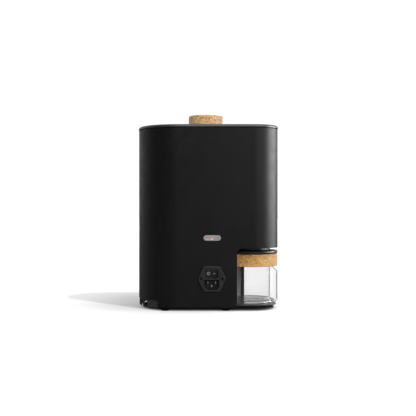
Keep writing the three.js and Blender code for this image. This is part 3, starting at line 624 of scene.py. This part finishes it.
def make_base():
    z0, z1 = base_low.z, base_high.z
    inset = base_low.x - shell_low.x
    plate = layered("base_plate_skin", [
        (footprint(inset + 1.4 * MM), z0), (footprint(inset + 0.5 * MM), z0 + 0.25 * MM),
        (footprint(inset), z0 + 0.9 * MM), (footprint(inset + 0.2 * MM), z0 + 1.5 * MM),
        (footprint(inset + 3 * MM), z1 - 0.5 * MM), (footprint(inset + 3.8 * MM), z1),
    ])
    present(plate, BLACK_PLASTIC, "housing", "base_plate", slot="black_plastic")

    z0, z1 = tray_low.z, tray_high.z
    inset = tray_low.x - shell_low.x
    tray = layered("tray_skin", [
        (footprint(inset + 6 * MM), z0), (footprint(inset + 0.6 * MM), z1 - 1.5 * MM),
        (footprint(inset + 0.1 * MM), z1 - 1.0 * MM), (footprint(inset), z1 - 0.7 * MM),
        (footprint(inset + 0.15 * MM), z1 - 0.3 * MM), (footprint(inset + 0.7 * MM), z1),
    ])
    far = Vector((tray_high.x, FRONT - FAR, 0))
    carve(tray, block("tray_end", far, (0.3, REAR + FAR, 0.03)))
    present(tray, BLACK_PLASTIC, "housing", "base_tray", slot="black_plastic")


def make_grille():
    strip = prism("grille", footprint(0.9 * MM), grille_low.z, grille_high.z + 5 * MM)
    centre = Vector((shell_high.x - INTAKE_END_RADIUS, MID_Y, 0))
    cutters = [prism("grille_inside", footprint(2.7 * MM), -0.01, 0.05)]
    slots, first, pitch, height = 8, -38.5, 11, 15 * MM
    middle = Matrix.Translation((centre.x, centre.y, VENT_TOP - 9.2 * MM))
    for step in range(slots):
        slot = prism("grille_slot", rounded(GRILLE_SLOT, height, 1.2 * MM), 60 * MM, 95 * MM)
        slot.data.transform(Matrix.Rotation(math.radians(90), 4, "Z"))
        outward = Matrix.Rotation(math.radians(90), 4, "Y")
        slot.data.transform(middle @ Matrix.Rotation(math.radians(first + pitch * step), 4, "Z") @ outward)
        cutters.append(slot)
    carve(strip, *cutters)
    carve(strip, vent_cutter(0.3 * MM), operation="INTERSECT")
    soften(strip, 0.3 * MM, 2)
    present(strip, BAY_PLASTIC, "housing", "intake_grille", slot="black_plastic")

    half_angle, outer, inner = 23, 71.4 * MM, 70.2 * MM
    front = arc(centre.x, centre.y, outer, -half_angle, half_angle, 24)
    back = arc(centre.x, centre.y, inner, -half_angle, half_angle, 24)
    baffle = prism("intake_baffle", front + back[::-1], base_high.z + 0.4 * MM, VENT_TOP)
    soften(baffle, 0.2 * MM, 2)
    present(baffle, RUBBER, "housing", slot="rubber")


def make_bay():
    """The wall behind the jar: straight from the rear opening, round the jar, straight to the front one. Most of
    it is light grey, painted light standing for the black plastic lit from the side; a strip by the front edge
    keeps the plastic's own dark colour.
    """
    clearance, strip = 4 * MM, 6.6 * MM
    radius = (jar_high.x - jar_low.x) / 2 + clearance
    liner_low, liner_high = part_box("bay_liner")

    def side(r, rear_x, front_x):
        rear_angle = math.degrees(math.acos((rear_x - JAR_AXIS.x) / r))
        front_angle = math.degrees(math.acos((front_x - JAR_AXIS.x) / r))
        curve = arc(JAR_AXIS.x, MID_Y, r, rear_angle, -front_angle, 60)
        return [(rear_x, liner_high.y)] + curve + [(front_x, liner_low.y)]

    jar_side = side(radius, BAY_REAR_EDGE - GAP, BAY_FRONT_EDGE - GAP)
    back = side(radius + WALL, BAY_REAR_EDGE - GAP + WALL, BAY_FRONT_EDGE - GAP + WALL)
    # The first piece is the liner painted light grey as if lit; the second, a strip by the front edge, keeps the
    # plastic's own dark colour.
    parts = [("bay_liner_painted_light_part", BAY_PAINTED_LIGHT, "DIFFERENCE"), ("bay_edge", BAY_PLASTIC, "INTERSECT")]
    for name, material, operation in parts:
        liner = prism(name, jar_side + back[::-1], liner_low.z, liner_high.z)
        front_strip = block("front_strip", (-0.4, FRONT - FAR, -0.01), (BAY_FRONT_EDGE + strip, MID_Y, 0.4))
        carve(liner, front_strip, operation=operation)
        soften(liner, 0.3 * MM, 2)
        present(liner, material, "housing", "bay_liner", slot="black_plastic")


def make_feet():
    profile = filleted([(0, 0, 0), (7 * MM, 0, 0.8 * MM), (7 * MM, 1.9 * MM, 0.2 * MM), (0, 1.9 * MM, 0)])
    dish = [(0, 0.5 * MM), (4 * MM, 0.5 * MM), (4.6 * MM, 0)]
    for index in range(1, 5):
        low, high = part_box(f"foot_{index}")
        centre = ((low.x + high.x) / 2, (low.y + high.y) / 2, 0)
        foot = turned(f"foot_{index}_pad", dish + profile[1:], centre, 48)
        present(foot, RUBBER, "housing", f"foot_{index}", slot="rubber")


def cross_recess(centre, size, depth, z0, z1):
    """Two crossed bars used to cut a screw's drive."""
    tools = []
    for long_x in (True, False):
        half_x, half_y = (size, depth) if long_x else (depth, size)
        low = (centre[0] - half_x, centre[1] - half_y, z0)
        high = (centre[0] + half_x, centre[1] + half_y, z1)
        tools.append(block("recess", low, high))
    return tools


def make_base_screws():
    for index in range(1, 5):
        low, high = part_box(f"base_screw_{index}")
        x, y = (low.x + high.x) / 2, (low.y + high.y) / 2
        profile = filleted([
            (0, low.z, 0), (2.4 * MM, low.z, 0.4 * MM), (3 * MM, high.z, 0.1 * MM), (0, high.z, 0),
        ])
        screw = turned(f"base_screw_{index}_head", profile, (x, y, 0), 48)
        carve(screw, *cross_recess((x, y), 1.5 * MM, 0.3 * MM, low.z - MM, low.z + 0.5 * MM))
        present(screw, STEEL, "housing", f"base_screw_{index}", slot="steel")


# ------------------------------------------------------------------ jar


def make_jar():
    """The two glasses and their seal. The photo shows no shadow of the glass, so it casts none."""
    centre = JAR_AXIS
    outer = (jar_high.x - jar_low.x) / 2
    z0, top = jar_low.z, jar_high.z
    neck, wall = 44.7 * MM, 2 * MM
    shoulder = 66.8 * MM
    glass = filleted([
        (0, z0 + 0.7 * MM, 0), (36 * MM, z0 + 0.7 * MM, 0.4 * MM), (41 * MM, z0, 1.5 * MM),
        (outer, z0, 4.2 * MM), (outer, shoulder + 0.5 * MM, 3.5 * MM), (neck, shoulder + 8.6 * MM, 2.5 * MM),
        (neck, top, 0.9 * MM), (neck - wall, top, 0.9 * MM),
        (neck - wall, shoulder + 7.6 * MM, 2 * MM), (outer - wall, shoulder - 0.4 * MM, 3 * MM),
        (outer - wall, z0 + 2.6 * MM, 3 * MM), (0, z0 + 2.6 * MM, 0),
    ], 8)
    jar = turned("jar_glass_outer", glass, centre, 128)
    jar.visible_shadow = False
    present(jar, GLASS, "jar", "jar_outer_glass", slot="glass")

    radius = (inner_high.x - inner_low.x) / 2
    z0, wall = inner_low.z, 1.8 * MM
    glass = filleted([
        (0, z0, 0), (radius, z0, 6.2 * MM), (radius, top, 0.8 * MM), (radius - wall, top, 0.8 * MM),
        (radius - wall, z0 + wall, 4.8 * MM), (0, z0 + wall, 0),
    ], 8)
    jar = turned("jar_glass_inner", glass, centre, 128)
    jar.visible_shadow = False
    present(jar, INNER_GLASS, "jar", "jar_inner_glass", slot="glass")

    low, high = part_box("jar_seal")
    seal = filleted([
        (radius + 0.3 * MM, low.z, 0.6 * MM), (neck - 2.3 * MM, low.z, 0.6 * MM),
        (neck - 2.3 * MM, high.z, 0.6 * MM), (radius + 0.3 * MM, high.z, 0.6 * MM),
    ], 4)
    present(turned("jar_seal_ring", seal, centre), RUBBER, "jar", "jar_seal", slot="rubber")


def roughen(obj, amount, scale):
    """Moves each point along its normal by a little, as pressed cork is not quite smooth."""
    normals = [corner.vector.copy() for corner in obj.data.vertex_normals]
    for vert, normal in zip(obj.data.vertices, normals):
        vert.co += normal * amount * noise.noise(vert.co * scale)
    obj.data.update()


def cork_profile(corners, rows):
    """A filleted profile with its long straight sides divided, so that it can be roughened."""
    points = filleted(corners, 5)
    divided = []
    for i, point in enumerate(points):
        divided.append(point)
        after = points[(i + 1) % len(points)]
        span = math.dist(point, after)
        parts = max(1, round(span / rows))
        if point[0] > 0 or after[0] > 0:
            for k in range(1, parts):
                t = k / parts
                divided.append((point[0] + (after[0] - point[0]) * t, point[1] + (after[1] - point[1]) * t))
    return divided


def make_cork_collar():
    outer = (collar_high.x - collar_low.x) / 2
    inner = 45.0 * MM
    profile = cork_profile([
        (inner, collar_low.z, 0.3 * MM), (outer, collar_low.z, 2.8 * MM),
        (outer, collar_high.z, 1.6 * MM), (inner, collar_high.z, 0.3 * MM),
    ], 0.9 * MM)
    collar = turned("cork_collar_ring", profile, JAR_AXIS, 320)
    roughen(collar, 0.10 * MM, 900)
    present(collar, CORK, "jar", "cork_collar", slot="cork")


def make_chaff_lid():
    outer = (chaff_high.x - chaff_low.x) / 2
    bore, skirt_in, skirt_out = 16 * MM, 34.3 * MM, 36.4 * MM
    z0, z1, low = chaff_low.z, chaff_high.z, 100.3 * MM
    disc = filleted([
        (bore, low, 0.4 * MM), (skirt_in, low, 0.4 * MM), (skirt_in, z0, 0.5 * MM), (skirt_out, z0, 0.5 * MM),
        (skirt_out, low, 0.4 * MM), (outer, low, 3.1 * MM), (outer, z1, 3.1 * MM), (bore, z1, 0.8 * MM),
    ], 8)
    lid = turned("chaff_lid_disc", disc, JAR_AXIS, 128)
    present(lid, LID_PLASTIC, "jar", "chaff_lid", slot="black_plastic")


def make_neck():
    outer = (neck_high.x - neck_low.x) / 2
    bore = 14.7 * MM
    ring = filleted([
        (bore, neck_low.z, 0.5 * MM), (outer, neck_low.z, 0.9 * MM), (outer, neck_high.z, 0.3 * MM),
        (bore, neck_high.z, 0.3 * MM),
    ])
    neck = turned("outlet_neck_ring", ring, JAR_AXIS, 128)
    present(neck, LID_PLASTIC, "housing", "outlet_neck", slot="black_plastic")


# ------------------------------------------------------------------ doser


def make_doser():
    radius = (cap_high.x - cap_low.x) / 2
    shoulder = lid_high.z + GAP
    plug = 26.7 * MM
    profile = cork_profile([
        (0, cap_low.z, 0), (plug, cap_low.z, 0.8 * MM), (plug, shoulder, 0.2 * MM),
        (radius, shoulder, 0.9 * MM), (radius, cap_high.z, 2.6 * MM), (0, cap_high.z, 0),
    ], 1.0 * MM)
    cap = turned("cork_doser_cap", profile, DOSER_AXIS, 224)
    roughen(cap, 0.10 * MM, 900)
    present(cap, CAP_CORK, "doser", "cork_cap", slot="cork")

    radius, wall = (cup_high.x - cup_low.x) / 2, 2 * MM
    profile = filleted([
        (0, cup_low.z, 0), (radius, cup_low.z, 2.6 * MM), (radius, cup_high.z, 0.8 * MM),
        (radius - wall, cup_high.z, 0.8 * MM), (radius - wall, cup_low.z + wall, 1.8 * MM),
        (0, cup_low.z + wall, 0),
    ])
    cup = turned("doser_cup_glass", profile, DOSER_AXIS)
    present(cup, GLASS, "doser", "doser_cup", slot="glass")


# ------------------------------------------------------------------ rear face: badge and mains inlet


def pill(name, width, height, cx, cz, y0, y1, edge):
    """A flat pill facing +Y with a rounded rim."""
    levels = [(rounded(width, height, height / 2 - 0.01 * MM, cx, cz, 14), y0)]
    for step in range(5):
        angle = math.radians(90 * step / 4)
        shrink = 2 * edge * (1 - math.cos(angle))
        outline = rounded(width - shrink, height - shrink, (height - shrink) / 2 - 0.01 * MM, cx, cz, 14)
        levels.append((outline, y1 - edge + edge * math.sin(angle)))
    return layered_y(name, levels)


def make_badge():
    low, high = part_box("rear_badge")
    cx, cz = (low.x + high.x) / 2, (low.z + high.z) / 2
    width, height = high.x - low.x, high.z - low.z
    plate = pill("badge", width, height, cx, cz, low.y, high.y, 0.35 * MM)
    present(plate, BADGE, "housing", "rear_badge", slot="badge")
    face = high.y
    bars = [
        ("badge_bar_long", 19 * MM, 2.3 * MM, cx + 3.7 * MM, cz + 0.9 * MM, ROSE_PRINT),
        ("badge_bar_green", 5.2 * MM, 1.8 * MM, cx + 8.0 * MM, cz - 2.0 * MM, PALE_PRINT),
        ("badge_bar_pale", 5.2 * MM, 2.0 * MM, cx + 0.4 * MM, cz - 2.0 * MM, DIFFUSER),
    ]
    for name, w, h, x, z, material in bars:
        bar = pill(name, w, h, x, z, face - 0.1 * MM, face + 0.08 * MM, 0.05 * MM)
        present(bar, material, "housing", slot="badge")


def make_inlet():
    """The inlet's parts are drawn about its centre, then moved to the rear face."""
    face = inlet_high.y - REAR
    depth = REAR - inlet_low.y
    body_width, body_height = 28.8 * MM, 43.2 * MM
    switch_z, switch_depth = 9.3 * MM, 14 * MM
    socket_z, socket_depth = -10.5 * MM, 12 * MM
    screw_low, screw_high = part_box("inlet_screw_left")
    screw_x = (screw_low.x + screw_high.x) / 2 - INLET.x

    def outline(shrink):
        corner = 3 * MM
        ends = [
            (12.8, -20, -90, -20), (22, 0, -22, 22), (12.8, 20, 20, 90),
            (-12.8, 20, 90, 160), (-22, 0, 158, 202), (-12.8, -20, 200, 270),
        ]
        points = []
        for x, z, start, end in ends:
            points += arc(x * MM, z * MM, corner - shrink, start, end, 8)
        return points

    edge = 0.8 * MM
    levels = [(outline(0), GAP), (outline(0), face - edge)]
    for step in range(1, 6):
        angle = math.radians(90 * step / 5)
        levels.append((outline(edge * (1 - math.cos(angle))), face - edge + edge * math.sin(angle)))
    housing = layered_y("inlet_module", levels)
    body = prism_y("inlet_body", rounded(body_width, body_height, 1.2 * MM), -depth, face - 0.5 * MM)
    carve(housing, body, operation="UNION")

    bezel = rounded(27.4 * MM, 17.5 * MM, 1.6 * MM, 0, switch_z)
    bezel_floor = face - 0.5 * MM
    switch_hole = rounded(21.8 * MM, 14 * MM, 0.8 * MM, 0, switch_z)
    half, top, low = 13.2 * MM, 9.2 * MM, -9.2 * MM
    chamfer = 4.6 * MM
    socket = [
        (-half, socket_z + top), (-half, socket_z + low + chamfer), (-half + chamfer, socket_z + low),
        (half - chamfer, socket_z + low), (half, socket_z + low + chamfer), (half, socket_z + top),
    ]
    socket = filleted([(x, z, 0.9 * MM) for x, z in socket], 5)
    tools = [
        prism_y("bezel", bezel, bezel_floor, FAR),
        prism_y("switch_hole", switch_hole, -switch_depth, FAR),
        prism_y("socket_hole", socket, -socket_depth, FAR),
    ]
    bore, mouth, behind = 1.8 * MM, 2.9 * MM, -0.01
    sink = [(0, behind), (bore, behind), (bore, GAP), (mouth, face), (mouth, FAR), (0, FAR)]
    for side in (-1, 1):
        hole = turn_to_y(turned("screw_hole", sink, (0, 0, 0), 48))
        hole.data.transform(Matrix.Translation((side * screw_x, 0, 0)))
        tools.append(hole)
    carve(housing, *tools)
    soften(housing, 0.25 * MM, 2)

    # A thin near-black sheet under the flange, shifted 0.8 mm towards +X and 0.3 mm down, so that it shows as a
    # dark rim along those sides of the flange: a painted shadow.
    painted_shadow_rim = prism_y("painted_shadow_rim", outline(-0.9 * MM), 0.02 * MM, 0.45 * MM)
    carve(painted_shadow_rim, prism_y("inlet_painted_shadow_hole", rounded(32 * MM, 44.4 * MM, 2 * MM), -0.01, 0.01))
    painted_shadow_rim.data.transform(Matrix.Translation(INLET + Vector((0.8 * MM, 0, -0.3 * MM))))
    present(painted_shadow_rim, INLET_SHADOW_PAINT, "housing", slot="rubber")

    housing.data.transform(Matrix.Translation(INLET))
    present(housing, INLET_PLASTIC, "housing", "inlet_housing", slot="black_plastic")

    for node in ("inlet_pin_line", "inlet_pin_neutral", "inlet_pin_earth"):
        low_corner, high_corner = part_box(node)
        pin = block(f"{node}_blade", low_corner, high_corner)
        soften(pin, 0.55 * MM, 4)
        present(pin, PIN_METAL, "housing", node, slot="plated_brass")

    for node in ("inlet_screw_left", "inlet_screw_right"):
        low_corner, high_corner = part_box(node)
        x, z = (low_corner.x + high_corner.x) / 2, (low_corner.z + high_corner.z) / 2
        shaft, head = 1.4 * MM, (high_corner.x - low_corner.x) / 2
        tip = low_corner.y - REAR
        crown = high_corner.y - REAR
        profile = filleted([
            (0, tip, 0), (shaft, tip, 0.3 * MM), (shaft, GAP, 0.1 * MM),
            (head, crown - 0.1 * MM, 0.1 * MM), (head - 0.2 * MM, crown, 0.1 * MM), (0, crown, 0),
        ])
        screw = turned(f"{node}_fastener", profile, (0, 0, 0), 48)
        carve(screw, *cross_recess((0, 0), 1.5 * MM, 0.32 * MM, crown - 0.6 * MM, crown + MM))
        turn_to_y(screw)
        screw.data.transform(Matrix.Translation((x, REAR, z)))
        present(screw, DARK_STEEL, "housing", node, slot="dark_steel")


def make_rocker():
    joint = next(j for j in frame["joints"] if j["name"] == "rocker_tilt")
    pivot = Vector(joint["pos_m"])
    tilt = math.radians(-8)
    half, height = 9.7 * MM, 13.4 * MM
    facets = [(-half + 2 * half * i / 24) for i in range(25)]
    dip, rise, bow = 3.6 * MM, 1.4 * MM, 1.15      # the middle's height, and how the ends rise above it
    top = [(x, dip + rise * (abs(x) / half) ** bow) for x in facets]
    outline = top + [(9 * MM, -2 * MM), (4.5 * MM, -6.5 * MM), (-4.5 * MM, -6.5 * MM), (-9 * MM, -2 * MM)]
    rocker = prism("rocker_button", outline[::-1], -height / 2, height / 2)
    soften(rocker, 0.5 * MM, 3, math.radians(40))
    place = Matrix.Translation(pivot) @ Matrix.Rotation(tilt, 4, "Z")
    rocker.data.transform(place)
    present(rocker, ROCKER_PLASTIC, "rocker", "power_rocker", slot="black_plastic")

    across, up = 5.2 * MM, 0.9 * MM
    slope = math.atan(rise / half)

    def mark(obj, side):
        lean = Matrix.Rotation(side * slope, 4, "Z")
        middle = Vector((side * across, dip + rise * (across / half) ** bow, up))
        obj.data.transform(place @ Matrix.Translation(middle) @ lean)
        present(obj, WHITE_PRINT, "rocker", slot="black_plastic")

    bore, rim, sunk, proud = 1.7 * MM, 2.7 * MM, -0.15 * MM, 0.1 * MM
    ring = filleted([(bore, sunk, 0), (rim, sunk, 0), (rim, proud, 0.03 * MM), (bore, proud, 0.03 * MM)], 3)
    off_mark = turn_to_y(turned("rocker_mark_off", ring, (0, 0, 0), 48))
    mark(off_mark, 1)
    bar = pill("rocker_mark_on", 4.4 * MM, 0.9 * MM, 0, 0, sunk, proud, 0.03 * MM)
    mark(bar, -1)


# ------------------------------------------------------------------ front controls


def face_front(obj):
    """Mirrors a piece drawn facing +Y so that it faces -Y."""
    obj.data.transform(Matrix.Scale(-1, 4, (0, 1, 0)))
    obj.data.flip_normals()
    return obj


def front_disc(name, corners, low, high):
    """A turned piece facing -Y in the middle of its CAD box, with its face at the box's front."""
    piece = turn_to_y(turned(name, filleted(corners), (0, 0, 0)))
    middle = Matrix.Translation(((low.x + high.x) / 2, low.y, (low.z + high.z) / 2))
    piece.data.transform(middle @ Matrix.Rotation(math.pi, 4, "Z"))
    return piece


def make_controls():
    low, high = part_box("display_window")
    cx, cz = (low.x + high.x) / 2, (low.z + high.z) / 2
    window = pill("display_glass", high.x - low.x, high.z - low.z, cx, cz, -high.y, -low.y, 0.35 * MM)
    present(face_front(window), GLOSS_BLACK, "housing", "display_window", slot="gloss_black")
    bars, pitch, sunk, proud = 7, 5.2 * MM, 0.05 * MM, 0.06 * MM
    for index in range(bars):
        x = cx + (index - bars // 2) * pitch
        width = 1.3 * MM + 0.3 * MM * index
        bar = pill(f"level_bar_{index + 1}", width, 1.2 * MM, x, cz, -low.y - sunk, -low.y + proud, 0.04 * MM)
        present(face_front(bar), DIFFUSER, "housing", slot="light")

    low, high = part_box("light_ring")
    inner, outer, back = 9.3 * MM, (high.x - low.x) / 2, low.y - high.y
    ring = [(inner, 0, 0.3 * MM), (outer, 0, 0.3 * MM), (outer, back, 0), (inner, back, 0)]
    ring = front_disc("light_ring_face", ring, low, high)
    present(ring, DIFFUSER, "housing", "light_ring", slot="light")

    low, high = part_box("control_button")
    outer, back, stem, skirt = (high.x - low.x) / 2, low.y - high.y, 4 * MM, -6 * MM
    button = front_disc("control_button_face", [
        (0, -0.7 * MM, 0), (outer * 0.6, -0.5 * MM, 2 * MM), (outer, 0, 0.9 * MM), (outer, skirt, 0.3 * MM),
        (stem, skirt, 0), (stem, back, 0.3 * MM), (0, back, 0),
    ], low, high)
    present(button, BLACK_PLASTIC, "button", "control_button", slot="black_plastic")


# ------------------------------------------------------------------ the pieces inside


def paint_cad_nodes():
    slots = {entry["node"]: entry["material_slot"] for entry in frame["record"]["subparts"]}
    for name, obj in frame["nodes"].items():
        obj.data.materials.clear()
        obj.data.materials.append(SLOT_MATERIALS[slots[name]])


# ------------------------------------------------------------------ studio


def seen_from_camera(tree):
    """1 for what is seen directly or through glass, and 0 for light that bounces off a surface first."""
    path = tree.nodes.new("ShaderNodeLightPath").outputs
    through = calculate(tree, "MAXIMUM", path["Is Camera Ray"], path["Is Transmission Ray"])
    bounces = calculate(tree, "ADD", path["Diffuse Depth"], path["Glossy Depth"])
    return path, calculate(tree, "MULTIPLY", through, calculate(tree, "LESS_THAN", bounces, 0.5))


def make_floor():
    """White floor: the sun's crisp shadow on top of a painted soft light, the floor's own glow, which is dimmed
    near the object as a painted soft shadow and rises far from it.
    """
    bm = bmesh.new()
    bmesh.ops.create_grid(bm, x_segments=8, y_segments=8, size=12.0)
    floor = new_object("floor", bm)
    n = Nodes("floor_paint")
    tone = n.ramp(n.noise(3, 3), [(0.3, (0.245, 0.245, 0.245)), (0.7, (0.255, 0.255, 0.255))])
    lean = n.add("ShaderNodeCombineXYZ")
    for socket, value in zip(lean.inputs, (-0.42, 0.36, 0.83)):
        socket.default_value = value
    # The occlusion test dims the floor's own glow next to the object: a painted soft shadow round its base.
    openness = n.add("ShaderNodeAmbientOcclusion", samples=16)
    openness.inputs["Distance"].default_value = 0.4
    n.link(lean.outputs[0], openness.inputs["Normal"])
    levels = [
        (0, 0), (0.09, 0), (0.2, 0.22), (0.3, 0.32), (0.62, 0.4),
        (0.74, 0.43), (0.79, 0.54), (0.85, 0.66), (0.92, 0.7), (1, 0.74),
    ]
    near = n.ramp(openness.outputs["AO"], [(position, (level,) * 3) for position, level in levels])
    away = n.add("ShaderNodeVectorMath", operation="LENGTH")
    n.link(n.coordinates, away.inputs[0])
    glow = calculate(n.tree, "ADD", near, n.span(away.outputs["Value"], 0.0, 0.3, 1.2, 5.0))
    n.set(
        Base_Color=tone, Roughness=0.9, Specular_IOR_Level=0.0,
        Emission_Color=(1, 1, 1), Emission_Strength=glow,
    )

    # To bounced light the floor is a plain grey, and to reflections a darker grey: painted shade in what the
    # object reflects of the floor.
    dull = n.add("ShaderNodeBsdfDiffuse")
    path, seen = seen_from_camera(n.tree)
    n.link(n.mix(path["Is Glossy Ray"], (0.3, 0.3, 0.3), (0.07, 0.07, 0.07)), dull.inputs["Color"])
    choice = n.add("ShaderNodeMixShader")
    n.link(seen, choice.inputs["Fac"])
    n.link(dull.outputs[0], choice.inputs[1])
    n.link(n.shader.outputs[0], choice.inputs[2])
    n.link(choice.outputs[0], n.tree.nodes["Material Output"].inputs["Surface"])
    floor.data.materials.append(n.material)
    return floor


def add_light(name, data, place, target):
    light = bpy.data.objects.new(name, data)
    bpy.context.scene.collection.objects.link(light)
    light.location = place
    light.rotation_euler = (Vector(target) - Vector(place)).to_track_quat("-Z", "Y").to_euler()
    return light


def softbox(name, place, target, size, radiance, glossy=True, diffuse=True):
    """A rectangular light of a stated brightness, as seen from the object."""
    data = bpy.data.lights.new(name, "AREA")
    data.shape = "RECTANGLE"
    data.size, data.size_y = size
    data.energy = radiance * math.pi * size[0] * size[1]
    light = add_light(name, data, place, target)
    light.visible_glossy = glossy
    light.visible_diffuse = diffuse
    light.visible_camera = False
    return light


def make_world():
    """White where it is seen, and for reflections brighter behind the object than beside it."""
    world = bpy.data.worlds.new("studio")
    bpy.context.scene.world = world
    world.use_nodes = True
    tree = world.node_tree
    background = tree.nodes["Background"]
    background.inputs["Color"].default_value = (1, 1, 1, 1)
    place = tree.nodes.new("ShaderNodeTexCoord")
    split = tree.nodes.new("ShaderNodeSeparateXYZ")
    tree.links.new(place.outputs["Generated"], split.inputs[0])
    ramp = tree.nodes.new("ShaderNodeValToRGB")
    shade = tree.nodes.new("ShaderNodeMapRange")
    shade.inputs["From Min"].default_value = -1
    tree.links.new(split.outputs["Y"], shade.inputs["Value"])
    tree.links.new(shade.outputs["Result"], ramp.inputs["Fac"])
    levels = [(0.0, 0.6), (0.2, 0.6), (0.42, 0.3), (0.60, 0.05), (0.80, 0.02), (0.93, 0.05), (1.0, 0.15)]
    set_stops(ramp.color_ramp, [(position, (level,) * 3) for position, level in levels])
    strength = tree.nodes.new("ShaderNodeMix")
    tree.links.new(seen_from_camera(tree)[1], strength.inputs["Factor"])
    tree.links.new(ramp.outputs["Color"], strength.inputs["A"])
    strength.inputs["B"].default_value = 1.05
    tree.links.new(strength.outputs["Result"], background.inputs["Strength"])


def make_studio():
    floor = make_floor()
    make_world()
    middle = (0, 0, 0.16)
    sun = bpy.data.lights.new("sun", "SUN")
    sun.energy = 3.2
    sun.angle = math.radians(1.2)
    sunlight = add_light("sun", sun, (-0.68, 0.73, 1.38), (0, 0, 0))
    lit_by_sun = bpy.data.collections.new("lit_by_sun")
    lit_by_sun.objects.link(floor)
    sunlight.light_linking.receiver_collection = lit_by_sun
    side_panel = ((-2.0, -0.2, 0.75), middle, (1.9, 1.5))
    softbox("side_gloss", *side_panel, 6.0, diffuse=False)
    softbox("side_fill", *side_panel, 2.7, glossy=False)
    softbox("front_box", (-1.2, 2.0, 0.9), middle, (1.6, 1.4), 0.8)
    softbox("key", (-0.85, 1.85, 1.0), middle, (1.6, 1.4), 2.0, glossy=False)
    softbox("top_box", (-0.5, 1.1, 2.3), middle, (2.6, 2.2), 2.2)
    softbox("left_fill", (1.9, 1.4, 0.9), middle, (1.8, 1.6), 1.0, glossy=False)
    softbox("far_fill", (0.4, -2.2, 1.2), middle, (2.2, 1.4), 0.8, glossy=False)
    bpy.context.scene.view_settings.view_transform = "Standard"


def make_camera():
    """Level camera behind the object, at a little over half its height."""
    distance, height, across = 1.48, 0.1854, 0.0005
    focal, sensor = 71.42, 36
    data = bpy.data.cameras.new("camera")
    data.lens = focal
    data.sensor_width = sensor
    data.clip_end = 60
    camera = bpy.data.objects.new("camera", data)
    bpy.context.scene.collection.objects.link(camera)
    camera.location = (across, REAR + distance, height)
    camera.rotation_euler = (math.radians(90), 0, math.radians(180))
    bpy.context.scene.camera = camera


paint_cad_nodes()
make_shell()
make_lid()
make_base()
make_grille()
make_bay()
make_feet()
make_base_screws()
make_jar()
make_cork_collar()
make_chaff_lid()
make_neck()
make_doser()
make_badge()
make_inlet()
make_rocker()
make_controls()
make_studio()
make_camera()
